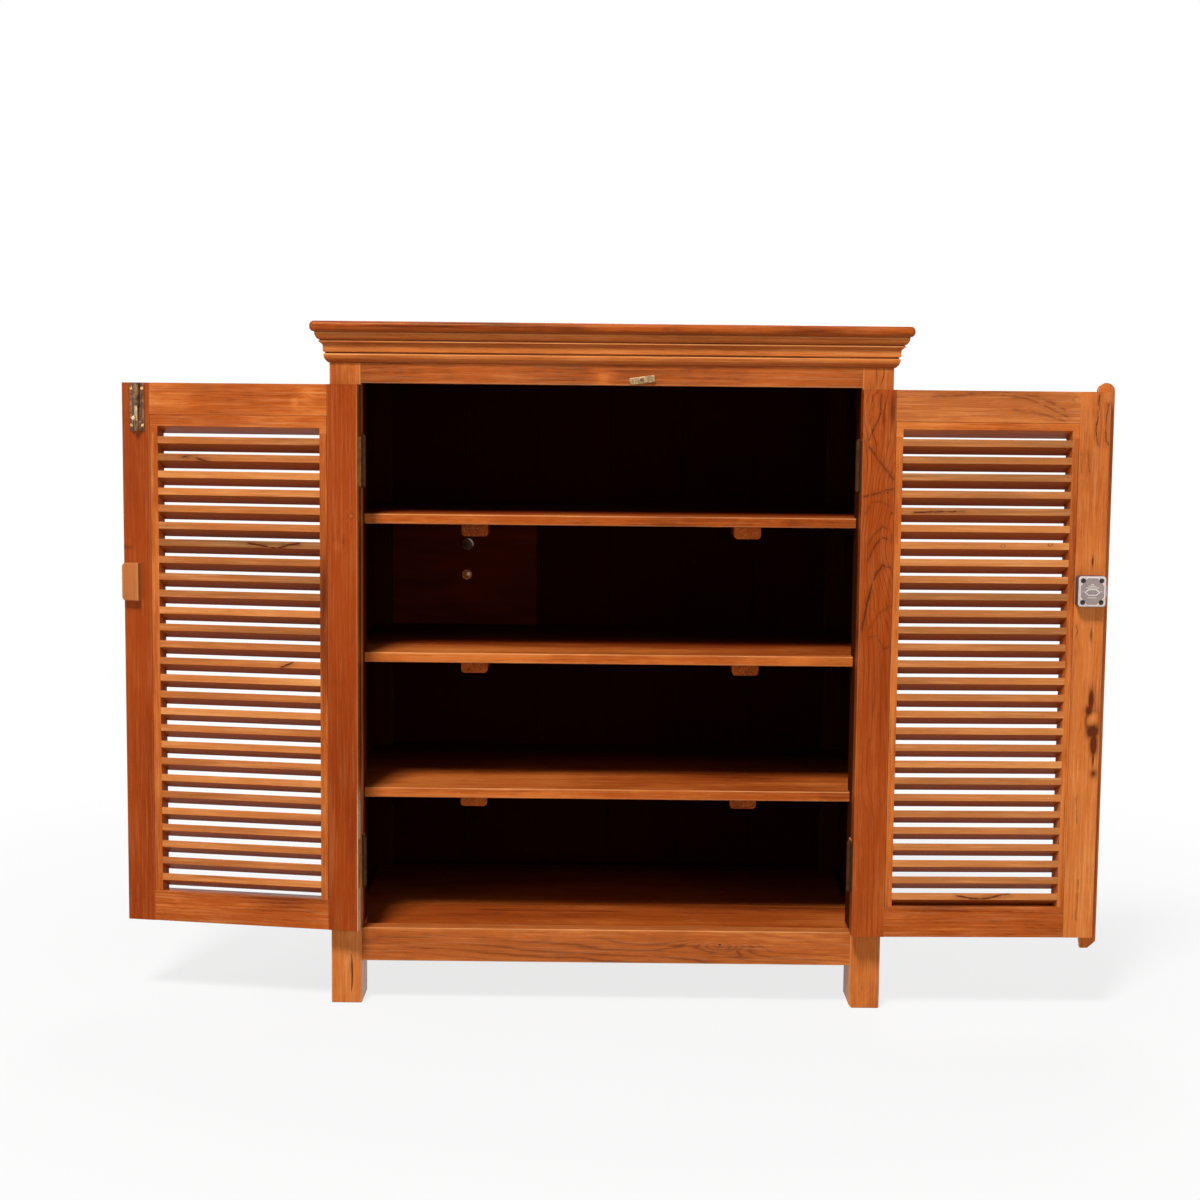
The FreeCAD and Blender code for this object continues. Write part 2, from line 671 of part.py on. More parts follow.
def makeTowerRod():
    shaft = rod((tower_u, tower_rod_v, tower_low + 0.5), (0, 0, 1), tower_rod_radius, 60.5)
    top_rim = [e for e in shaft.Edges if e.BoundBox.ZMin > 829.9]
    shaft = shaft.makeChamfer(0.8, top_rim)
    stem = rod((tower_u, tower_rod_v, tower_knob_z), (0, 1, 0), 1.6, 6.0)
    knob = Part.makeSphere(3.0, Vector(tower_u, 30.0, tower_knob_z))
    return fuseAll([shaft, stem, knob])


def domeScrew(u, v, z, head_radius, length, gap=0.0):
    # round-headed screw driven along -v from a face at v
    shank = rod((u, v, z), (0, -1, 0), 1.1 + gap, length)
    if gap:
        return shank
    head = rod((u, v, z), (0, 1, 0), head_radius, 1.1)
    rim = [e for e in head.Edges if e.BoundBox.YMin > v + 1.0]
    head = head.makeChamfer(0.6, rim)
    slot = box(u - head_radius, u + head_radius, v + 0.5, v + 2, z - 0.3, z + 0.3)
    return fuseAll([shank, head]).cut(slot)


tower_screws = [(tower_u + du, z) for du in (-7.4, 7.4) for z in (776.7, 825.2)]
plate_face = door_thickness + 1.2


def makeKeeperBlock():
    u0, u1, v0, v1, z0, z1 = keeper_block
    block = box(u0, u1, v0, v1, z0, z1)
    corners = [e for e in edgesAlong(block, (0, 1, 0)) if e.Vertexes[0].X > u1 - 0.01]
    block = block.makeFillet(5.5, corners)
    front = [e for e in block.Edges if e.BoundBox.YMin > v1 - 0.01]
    return block.makeFillet(1.2, front)


# ---- lock and cover strip, in right-door coordinates ------------------------------------------

def makeLockCase():
    body = box(lock_u - lock_width / 2, lock_u + lock_width / 2, door_thickness, lock_front,
               lock_z - lock_height / 2, lock_z + lock_height / 2)
    body = eased(body, 2.5, (0, 1, 0))
    front = [e for e in body.Edges if e.BoundBox.YMin > lock_front - 0.01]
    body = body.makeFillet(1.0, front)
    radius = 12.5 / cos(radians(22.5))
    octagon = [(lock_u + radius * cos(radians(22.5 + 45 * k)), lock_front - 0.5,
                lock_z + radius * sin(radians(22.5 + 45 * k))) for k in range(8)]
    boss = prism(octagon, (0, 1.8, 0))
    barrel = rod((barrel_u, -1.8, lock_z), (0, 1, 0), barrel_radius, door_thickness + 2.0)
    body = fuseAll([body, boss, barrel])
    cuts = [rod((barrel_u, -3, lock_z), (0, 1, 0), plug_radius + 0.06, 27.3),
            box(296.5, 330, 27.7, 31.9, lock_z - 7.1, lock_z + 7.1)]
    for u, z in lock_screws:
        cuts.append(rod((u, door_thickness - 1, z), (0, 1, 0), 1.6, 20))
        cuts.append(rod((u, lock_front - 3.0, z), (0, 1, 0), 2.95, 5))
    return cutAll(body, cuts)


def makePlug():
    plug = rod((barrel_u, -1.6, lock_z), (0, 1, 0), plug_radius, 25.6)
    keyway = box(barrel_u - 0.8, barrel_u + 0.8, -3, 6, lock_z - 3.4, lock_z + 3.4)
    return plug.cut(keyway)


def makeLockBolt():
    bolt = box(297.0, 322.8, 27.8, 31.8, lock_z - 7.0, lock_z + 7.0)
    nose = [e for e in edgesAlong(bolt, (0, 1, 0)) if e.Vertexes[0].X > 322]
    return bolt.makeFillet(1.5, nose)


def makeAstragal():
    # a half round at the top; at the bottom one side draws in a little and the other is clipped
    u0, u1 = astragal_u
    z0, z1 = astragal_z
    v0 = -astragal_thickness
    middle = (u0 + u1) / 2
    shoulder = z1 - (u1 - u0) / 2
    clip_u, clip_z = astragal_clip
    taper_u, taper_z = astragal_taper
    corners = [Vector(u1, v0, shoulder), Vector(u1, v0, z0 + clip_z), Vector(u1 - clip_u, v0, z0),
               Vector(u0 + taper_u, v0, z0), Vector(u0, v0, z0 + taper_z), Vector(u0, v0, shoulder)]
    arch = Part.Arc(corners[-1], Vector(middle, v0, z1), corners[0]).toShape()
    outline = Part.Wire([arch] + Part.makePolygon(corners).Edges)
    strip = Part.Face(outline).extrude(Vector(0, astragal_thickness, 0))
    outer = [e for e in strip.Edges if e.BoundBox.YMax < v0 + 0.01]
    strip = strip.makeFillet(astragal_rounding, outer)
    # it bears only on its own door; elsewhere the back is cut away a little
    relief = astragal_relief
    reliefs = [box(door_width, u1 + 5, -relief, 1, z0 - 5, z1 + 5),
               box(u0 - 5, u1 + 5, -relief, 1, door_top, z1 + 5),
               box(u0 - 5, u1 + 5, -relief, 1, z0 - 5, door_bottom)]
    return cutAll(strip, reliefs)


lock_screws = [(lock_u + du, lock_z + dz) for du in (-lock_screw_offset[0], lock_screw_offset[0])
               for dz in (-lock_screw_offset[1], lock_screw_offset[1])]


def lockScrew(u, z, gap=0.0):
    shank = rod((u, lock_front - 3.0, z), (0, -1, 0), 1.3 + gap, 24.0)
    if gap:
        return shank
    head = rod((u, lock_front - 3.0, z), (0, 1, 0), 2.7, 1.4)
    cross = fuseAll([box(u - 1.6, u + 1.6, lock_front - 2.4, lock_front, z - 0.35, z + 0.35),
                     box(u - 0.35, u + 0.35, lock_front - 2.4, lock_front, z - 1.6, z + 1.6)])
    return fuseAll([shank, head]).cut(cross)


# ---- put the doors together and swing them to the open rest position ---------------------------

door_pieces = {}
for side, spec in doors.items():
    door_pieces[side] = makeDoorFrame(spec)

left = door_pieces["left"]
left["tower_bolt_plate"] = makeTowerBolt()
left["tower_bolt_rod"] = makeTowerRod()
left["tower_bolt_screws"] = group([domeScrew(u, plate_face, z, 2.3, 12.0) for u, z in tower_screws])
tower_holes = [domeScrew(u, plate_face, z, 2.3, 12.0, 0.05) for u, z in tower_screws]
left["tower_bolt_plate"] = cutAll(left["tower_bolt_plate"], tower_holes)
left["meeting_stile"] = cutAll(left["meeting_stile"], tower_holes)
left["top_rail"] = cutAll(left["top_rail"], tower_holes)
left["lock_keeper_block"] = makeKeeperBlock()

right = door_pieces["right"]
right["lock_case"] = makeLockCase()
right["lock_cylinder"] = makePlug()
right["lock_bolt"] = makeLockBolt()
right["lock_screws"] = group([lockScrew(u, z) for u, z in lock_screws])
lock_holes = [lockScrew(u, z, 0.05) for u, z in lock_screws]
lock_holes.append(rod((barrel_u, -1, lock_z), (0, 1, 0), barrel_radius + 0.1, 20))
right["meeting_stile"] = cutAll(right["meeting_stile"], lock_holes)
right["astragal"] = makeAstragal()

shared_names = {"hinge_stile", "meeting_stile", "top_rail", "bottom_rail", "louvre_strips", "slats",
                "hinge_leaves", "hinge_screws"}
for side, parts in door_pieces.items():
    for name, shape in parts.items():
        placed = shape.copy()
        placed.translate(Vector(-door_edge_x, 0, 0))
        if side == "right":
            placed = mirrored(placed)
        pivot_x = hinge_x if side == "right" else -hinge_x
        placed.rotate(Vector(pivot_x, hinge_y, 0), Vector(0, 0, 1), doors[side]["rest_angle"])
        label = "%s_door_%s" % (side, name) if name in shared_names else name
        pieces[label] = placed


os.makedirs("parts", exist_ok=True)
for name, shape in pieces.items():
    shape.translate(Vector(0, front_y, 0))
    if not shape.isValid():
        print("not valid:", name)
    shape.exportStep("parts/%s.step" % name)
print(len(pieces), "nodes")
overall = Part.makeCompound(list(pieces.values())).BoundBox
print("x %.1f %.1f  y %.1f %.1f  z %.1f %.1f" % (overall.XMin, overall.XMax, overall.YMin,
                                               overall.YMax, overall.ZMin, overall.ZMax))
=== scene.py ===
import bpy
import json
from math import cos, radians, sin
from mathutils import Matrix, Vector


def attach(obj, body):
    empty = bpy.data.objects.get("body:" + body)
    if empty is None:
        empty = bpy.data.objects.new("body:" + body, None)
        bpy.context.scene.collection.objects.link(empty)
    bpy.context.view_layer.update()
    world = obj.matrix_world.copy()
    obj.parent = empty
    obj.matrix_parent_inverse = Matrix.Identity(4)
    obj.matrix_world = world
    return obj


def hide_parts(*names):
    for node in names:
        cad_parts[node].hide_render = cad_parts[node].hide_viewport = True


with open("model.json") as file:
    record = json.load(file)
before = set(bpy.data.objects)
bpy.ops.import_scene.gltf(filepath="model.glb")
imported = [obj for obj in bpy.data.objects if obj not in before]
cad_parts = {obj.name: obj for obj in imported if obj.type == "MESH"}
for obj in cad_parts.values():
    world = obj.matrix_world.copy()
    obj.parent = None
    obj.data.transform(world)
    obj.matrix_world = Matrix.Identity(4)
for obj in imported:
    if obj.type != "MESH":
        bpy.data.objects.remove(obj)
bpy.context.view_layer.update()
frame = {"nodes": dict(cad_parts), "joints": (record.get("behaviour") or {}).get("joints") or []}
nodes = frame["nodes"]
joints = {joint["name"]: joint for joint in frame["joints"]}
print("frame loaded,", len(nodes), "nodes")

# the front faces of the posts stand at this y; doors closed, their outer faces do too
frontY = -0.184

view = {
    "place": (-0.00745, -2.76554, 0.81101),
    "turn": -0.11,  # degrees to the right
    "down": 5.73,
    "roll": 0.58,
    "lens": 58.656,
    "sensor": 36.0,
    "nearest": 0.05,
}


def setCamera(v):
    turn, down, roll = radians(v["turn"]), radians(v["down"]), radians(v["roll"])
    ahead = Vector((sin(turn) * cos(down), cos(turn) * cos(down), -sin(down)))
    right = Vector((cos(turn), -sin(turn), 0))
    up = right.cross(ahead)
    rightRolled = right * cos(roll) + up * sin(roll)
    upRolled = up * cos(roll) - right * sin(roll)
    data = bpy.data.cameras.new("camera")
    data.lens = v["lens"]
    data.sensor_width = v["sensor"]
    data.clip_start = v["nearest"]
    camera = bpy.data.objects.new("camera", data)
    bpy.context.scene.collection.objects.link(camera)
    axes = Matrix((rightRolled, upRolled, -ahead)).transposed().to_4x4()
    camera.matrix_world = Matrix.Translation(v["place"]) @ axes
    bpy.context.scene.camera = camera


setCamera(view)
print("camera set")


def mathStep(operation, swapped=False):
    def step(self, *others):
        return self.sum(operation, *((*others, self) if swapped else (self, *others)))
    return step


# shader sums on sockets: an expression on values adds its Math nodes
class Value:
    def __init__(self, socket):
        self.socket = socket

    def sum(self, operation, *terms, clamp=False):
        tree = self.socket.id_data
        node = tree.nodes.new("ShaderNodeMath")
        node.operation = operation
        node.use_clamp = clamp
        for place, term in enumerate(terms):
            if isinstance(term, Value):
                tree.links.new(term.socket, node.inputs[place])
            else:
                node.inputs[place].default_value = term
        return Value(node.outputs[0])

    __add__ = mathStep("ADD")
    __radd__ = mathStep("ADD", swapped=True)
    __sub__ = mathStep("SUBTRACT")
    __rsub__ = mathStep("SUBTRACT", swapped=True)
    __mul__ = mathStep("MULTIPLY")
    __rmul__ = mathStep("MULTIPLY", swapped=True)
    __truediv__ = mathStep("DIVIDE")
    __lt__ = mathStep("LESS_THAN")
    __gt__ = mathStep("GREATER_THAN")
    floor = mathStep("FLOOR")
    fract = mathStep("FRACT")
    root = mathStep("SQRT")
    size = mathStep("ABSOLUTE")
    most = mathStep("MAXIMUM")
    least = mathStep("MINIMUM")

    def clamped(self):
        return self.sum("ADD", self, 0.0, clamp=True)

    def falling(self):
        # 1 where the value is 0, and less and less as it grows
        return self.sum("EXPONENT", 0 - self)

    def bell(self):
        return (self * self).falling()


# a material under work: one method adds any node, the others are short forms of it
class Finish:
    def __init__(self, name):
        self.material = bpy.data.materials.new(name)
        self.material.use_nodes = True
        self.tree = self.material.node_tree
        self.tree.nodes.clear()

    def node(self, kind, settings=None, sockets=None, out=0):
        made = self.tree.nodes.new(kind)
        for key, value in (settings or {}).items():
            if key == "stops":
                ramp = made.color_ramp
                while len(ramp.elements) < len(value):
                    ramp.elements.new(0.5)
                for element, (place, level) in zip(ramp.elements, value):
                    element.position = place
                    element.color = (*level, 1) if isinstance(level, tuple) else (level, level, level, 1)
                ramp.interpolation = "EASE"
            else:
                setattr(made, key, value)
        for key, value in (sockets or {}).items():
            if isinstance(value, Value):
                self.tree.links.new(value.socket, made.inputs[key])
            else:
                made.inputs[key].default_value = value
        return Value(made.outputs[out])

    def coordinates(self, kind):
        return self.node("ShaderNodeTexCoord", out=kind)

    def vector(self, operation, *terms, out=0, **named):
        return self.node("ShaderNodeVectorMath", {"operation": operation},
                         {**dict(enumerate(terms)), **named}, out)

    def scaled(self, point, by):
        return self.vector("MULTIPLY", point, by)

    def shifted(self, point, by):
        return self.vector("ADD", point, by)

    def split(self, point):
        first = self.node("ShaderNodeSeparateXYZ", None, {0: point})
        return [Value(first.socket.node.outputs[k]) for k in range(3)]

    def joined(self, x, y, z):
        return self.node("ShaderNodeCombineXYZ", None, {0: x, 1: y, 2: z})

    def noise(self, point, scale, detail=2.0, rough=0.5, distort=0.0, out=0):
        return self.node("ShaderNodeTexNoise", None, {
            "Vector": self.scaled(point, scale), "Scale": 1.0, "Detail": detail, "Roughness": rough,
            "Distortion": distort}, out)

    def ramp(self, value, *stops):
        return self.node("ShaderNodeValToRGB", {"stops": stops}, {0: value})

    def mix(self, amount, first, second):
        a = first if isinstance(first, Value) else (*first, 1)
        b = second if isinstance(second, Value) else (*second, 1)
        return self.node("ShaderNodeMix", {"data_type": "RGBA", "clamp_factor": True},
                         {0: amount, 6: a, 7: b}, out=2)

    def bump(self, height, strength, distance, under=None):
        sockets = {"Height": height, "Strength": strength, "Distance": distance}
        if under is not None:
            sockets["Normal"] = under
        return self.node("ShaderNodeBump", None, sockets)

    def output(self, shader):
        last = self.tree.nodes.new("ShaderNodeOutputMaterial")
        self.tree.links.new(shader.socket, last.inputs["Surface"])
        return self.material

    def surface(self, sockets):
        return self.output(self.node("ShaderNodeBsdfPrincipled", None, sockets))


# the doors stand folded back at rest; their wood and fittings are laid out as if closed
doorEdgeX = 0.324


def swing(side):
    joint = joints[side + "_door_swing"]
    low, high = joint["range_deg"]
    angle = radians(high if side == "left" else low)
    pivot = Vector((joint["pos_m"][0], joint["pos_m"][1], 0))
    return angle, pivot


def toRest(side):
    angle, pivot = swing(side)
    return Matrix.Translation(pivot) @ Matrix.Rotation(-angle, 4, "Z") @ Matrix.Translation(-pivot)


def closedBox(node, side):
    # lowest and highest corners of a door's node with the door closed
    back = toRest(side).inverted() if side else Matrix()
    points = [back @ corner.co for corner in nodes[node].data.vertices]
    return [[pick(p[k] for p in points) for k in range(3)] for pick in (min, max)]


def doorX(side, u):
    # u runs from a door's hinge edge to its free edge
    return u - doorEdgeX if side == "left" else doorEdgeX - u


def objectPoint(finish, side):
    raw = finish.coordinates("Object")
    if side is None:
        return raw
    angle, pivot = swing(side)
    moved = pivot - Matrix.Rotation(angle, 3, "Z") @ pivot
    return finish.node("ShaderNodeMapping", {"vector_type": "POINT"},
                       {"Vector": raw, "Location": moved, "Rotation": (0, 0, angle)})


# varnished teak, from its darkest veins to its palest bands; a board's own settings are further down
teak = {
    "tones": ((0.0, (0.030, 0.004, 0.0012)), (0.22, (0.150, 0.022, 0.0035)), (0.42, (0.330, 0.062, 0.0080)),
              (0.60, (0.490, 0.125, 0.022)), (0.80, (0.640, 0.225, 0.060)), (1.0, (0.800, 0.400, 0.150))),
    "red": (0.235, 0.026, 0.0020),
    # deepRed and dark are the colours of the painted shade further inside
    "deepRed": (0.140, 0.014, 0.0012),
    "dark": (0.0120, 0.0006, 0.0003),
    "knot": (0.045, 0.009, 0.003),
    "vein": (0.075, 0.012, 0.004),
    "stain": (0.085, 0.012, 0.004),
    "sap": (0.76, 0.40, 0.16),
    "cream": (0.78, 0.47, 0.27),
    "olive": (0.125, 0.025, 0.005),
    "honey": (0.480, 0.204, 0.066),
    "under": (0.250, 0.042, 0.0040),
    "fleck": (0.76, 0.38, 0.16),
    "roughness": 0.34,
    "tint": (1.0, 0.42, 0.14, 1.0),
    "specular": 0.30,
}

# noises of the grain: shift, how fine across, into and along it, detail, roughness, distortion
grain = {
    "wander": (None, (8, 8, 1.4), 3.0, 0.55),
    "wobble": (None, (70, 70, 14), 2.0),
    "drift": ((3.1, 1.7, 5.3), (40, 40, 9), 2.0),
    "strong": (None, (26, 26, 2.2), 2.0),
    "fibre": (None, (750, 750, 26), 2.0, 0.65),
    "lines": (None, (240, 240, 9), 3.0, 0.6),
    "mottle": (None, (70, 70, 45), 3.0, 0.6),
    "pores": (None, (1500, 1500, 38), 1.0),
    "patch": (None, (15, 15, 2.4), 3.0, 0.55),
    "broad": ((9.2, 4.4, 0.7), (5, 5, 4.0), 2.0),
    "vein": ((7.7, 2.2, 1.9), (85, 85, 2.6), 3.0, 0.6, 0.4),
    "fleck": ((2.3, 8.1, 6.6), (330, 330, 11), 3.0, 0.65),
    "shake": (None, (140, 140, 90), 3.0),
    "fade": (None, (160, 160, 90), 2.0),
    "waves": (None, (30, 30, 3), 2.0),
}

# colour stops: those noises sharpened, the parts of a growth ring, and where the other looks begin and end
sharp = {
    "ring": ((0.0, 0.30), (0.25, 0.0), (0.60, 0.15), (0.88, 1.0), (1.0, 0.30)),
    "outline": ((0.80, 0.0), (0.92, 1.0), (1.0, 0.0)),
    "strong": ((0.32, 0.2), (0.68, 1.0)),
    "pores": ((0.56, 0.0), (0.66, 1.0)),
    "vein": ((0.58, 0.0), (0.72, 1.0)),
    "fleck": ((0.46, 0.0), (0.74, 1.0)),
    "fade": ((0.30, 0.35), (0.55, 1.0)),
    "mark": ((0.10, 0.0), (0.85, 0.9)),
    "under": ((0.15, 0.0), (0.55, 1.0)),
    "begin": ((0.0, 0.0), (0.50, 1.0)),
    "end": ((0.30, 0.0), (1.0, 1.0)),
}

figure = {
    "seedStep": 0.37,  # m across the grain between two seeds
    "rowCut": (0.9, 0.6, 7.0),  # m, how far apart the boards of a row are cut
    "rowPith": (0.14, 0.20),  # m, how far their pith lines lie apart
    "stray": 0.030,  # m, how far the rings stray
    "ripple": 0.9,  # rings, their small waves
    # how much each noise lightens or darkens
    "tone": {"patch": 0.55, "broad": 0.50, "lines": 0.30, "fibre": 0.26, "mottle": 0.16},
    "pores": 0.08,
    "glow": 0.22,
    "halo": (5, 0.42),  # a vein's soft surround: times its width, part of its strength
    "ragged": 0.35,  # how unevenly the dark inside begins
    "inside": (0.92, 0.975),  # how red, then how dark, it ends
    "arris": (0.0008, 0.0012),  # m, width of the pale edges, partly worn and partly painted highlight, and how much it varies
    "grooves": (0.0008, 0.85, 0.3),  # m wide, how strong, and how evenly
    "crests": (0.00045, 1.0, -0.1),
    "relief": (0.14, 0.0005),  # bump of the pores: strength, m
    "waves": (0.10, 0.004),
}

# what a board is unless its own settings say otherwise
plainBoard = {
    "along": "z", "side": None, "seed": 0.0, "pith": (0.3, 0.16), "slant": 0.0, "middle": 0.45,
    "ring": 0.005, "level": 0.52, "red": 0.0, "honey": 0.0, "drift": 1.0, "rings": 0.08, "outline": None,
    "veins": 0.1, "boards": None, "spread": 0.3, "marks": {}, "dim": None, "shell": None, "above": None,
    "before": None, "arris": 0.45, "turnAbove": None, "gloss": 1.0, "under": 0.5, "quirks": None,
    "edgeFace": None, "paths": (), "sway": 0.005, "flecks": 0.24,
}
doorBoard = {"arris": 0.1}


def onBoard(s, u, z):
    # a door's marks are listed by u and height, others by their place across and along the grain
    if s["side"] is None:
        return u / 1000, z / 1000
    x = doorX(s["side"], u / 1000)
    return (x, z / 1000) if s["along"] == "z" else (z / 1000, x)


def crackMask(s, numbers, across, length, wobble, drift):
    # a crack between two points, widest in its middle
    u0, z0, u1, z1, half, sag = numbers
    (a0, l0), (a1, l1) = onBoard(s, u0, z0), onBoard(s, u1, z1)
    stepA, stepL = a1 - a0, l1 - l0
    pa = across - a0 + (wobble - 0.5) * 0.0045
    pl = length - l0
    t = ((pa * stepA + pl * stepL) / (stepA ** 2 + stepL ** 2)).clamped()
    bow = t * (1 - t)
    da = pa - t * stepA - bow * (4 * sag / 1000)
    dl = pl - t * stepL
    width = (bow * 3.0 + 0.25) * (half / 1000) * (0.4 + drift * 1.2)
    return ((da * da + dl * dl).root() / width).bell() * (drift * 1.5)


def markShape(s, kind, numbers, across, length, wobble, drift):
    # masks for one mark on a board: how strongly it colours, and how far it bends the rings round it
    if kind == "line":
        return crackMask(s, numbers, across, length, wobble, drift), None
    u, z, halfU, halfZ, *strength = numbers
    a, l = onBoard(s, u, z)
    halfA, halfL = halfU / 1000, halfZ / 1000
    if s["side"] and s["along"] == "x":
        halfA, halfL = halfL, halfA
    strength = strength[0] if strength else 1.0
    da = (across - a + (wobble - 0.5) * halfA * 1.2) / halfA
    dl = (length - l + (drift - 0.5) * halfL * 0.8) / halfL
    near = da * da + dl * dl
    if kind == "knot":
        core, around, bend = 0.9, 0.22, 2.5
        return (near * core).bell(), (near * around).bell() * bend
    if kind == "eye":
        radius, crisp, around, bend = 0.75, 3.0, 0.3, 1.2
        return ((near.root() - radius) * crisp).bell() * (drift * 0.8), (near * around).bell() * bend
    if kind == "swell":
        return None, near.falling() * strength
    return near.falling() * strength, None


def pathMask(f, s, place):
    # dark veins drawn along lines of points; each has its own strength and half width
    wide, faint = figure["halo"]
    result = None
    for strength, half, *listed in s["paths"]:
        points = [onBoard(s, u, z) for u, z in listed]
        nearest = None
        for first, second in zip(points[:-1], points[1:]):
            step = Vector((second[0] - first[0], second[1] - first[1], 0))
            start = f.vector("SUBTRACT", place, (*first, 0))
            t = f.vector("DOT_PRODUCT", start, step / step.length_squared, out=1).clamped()
            gap = f.vector("DISTANCE", start, f.vector("SCALE", step, Scale=t), out=1)
            nearest = nearest.least(gap) if nearest else gap
        width = half / 1000
        mask = (nearest / width).bell() * strength + (nearest / (width * wide)).bell() * (faint * strength)
        result = result.most(mask) if result else mask
    return result


def veined(f, s, colour, across, length, noise):
    sway = s["sway"]
    shake = noise("shake", out=1)
    place = f.shifted(f.joined(across, length, 0.0), (-sway / 2, -sway / 2, 0.0))
    place = f.vector("MULTIPLY_ADD", shake, (sway, sway, 0), place)
    fade = noise("fade")
    return f.mix((pathMask(f, s, place) * fade).clamped(), colour, teak["vein"])


def wornAndHighlightedEdges(f, s, colour, places, wobble, drift):
    # edges painted pale: partly wear, partly a painted highlight along the arrises
    low, high = s["box"]
    gaps = []
    for k in {"z": (0, 1), "x": (2, 1), "y": (0, 2)}[s["along"]]:
        middle, half = (low[k] + high[k]) / 2, (high[k] - low[k]) / 2
        gaps.append(half - (places[k] - middle).size())
    width, uneven = figure["arris"]
    edge = ((gaps[0] * gaps[0] + gaps[1] * gaps[1]).root() / (width + wobble * uneven)).bell()
    return f.mix(edge * s["arris"] * drift * 1.6, colour, teak["sap"])


def moulded(f, s, colour, z, drift):
    # painted shade darkens the grooves of a moulding, and painted highlights brighten the arrises below them
    for levels, look, tint in zip(s["quirks"], ("grooves", "crests"), ("stain", "sap")):
        width, amount, even = figure[look]
        for level in levels:
            band = ((z - level) / width).bell()
            colour = f.mix(band * amount * (drift * 1.2 + even), colour, teak[tint])
    return colour


hingeEdge = {"near": 0.0012, "blend": 0.04, "door": 0.018, "band": 0.0115, "half": 0.0075}


def edgeFace(f, s, colour, x, y, z):
    # the hinge edge of a door: dark olive in its outer half, with a pale band low down
    edgeX, change = s["edgeFace"]
    onEdge = (x - edgeX).size() < hingeEdge["near"]
    low = f.ramp((z - change) / hingeEdge["blend"], (0.0, 1.0), (1.0, 0.0))
    depth = y - frontY
    outer = f.ramp(depth / hingeEdge["door"], (0.50, 1.0), (0.62, 0.0))
    colour = f.mix(onEdge * 0.15, colour, teak["sap"])
    colour = f.mix(onEdge * outer * 0.9, colour, teak["olive"])
    band = ((depth - hingeEdge["band"]) / hingeEdge["half"]).bell()
    return f.mix(onEdge * low * band, colour, teak["cream"])


def paintedShadeInside(f, s, colour, raw, drift):
    # painted shade: the colour goes through deep red to black further in, darkening the inside as shade does
    rawX, rawY, rawZ = f.split(raw)
    begin, end = s["dim"]
    inward = (rawY - (frontY + begin)) / (end - begin) + (drift - 0.5) * figure["ragged"]
    first, second = f.ramp(inward, *sharp["begin"]), f.ramp(inward, *sharp["end"])
    if s["shell"]:
        axis, limit = s["shell"]
        inner = {"x": rawX.size(), "y": rawY}[axis] < limit
        if s["above"]:
            inner = inner * (rawZ > s["above"])
        if s["before"]:
            inner = inner * (rawY < s["before"])
        first, second = first * inner, second * inner
    redness, darkness = figure["inside"]
    colour = f.mix(first * redness, colour, teak["deepRed"])
    return f.mix(second * darkness, colour, teak["dark"]), second


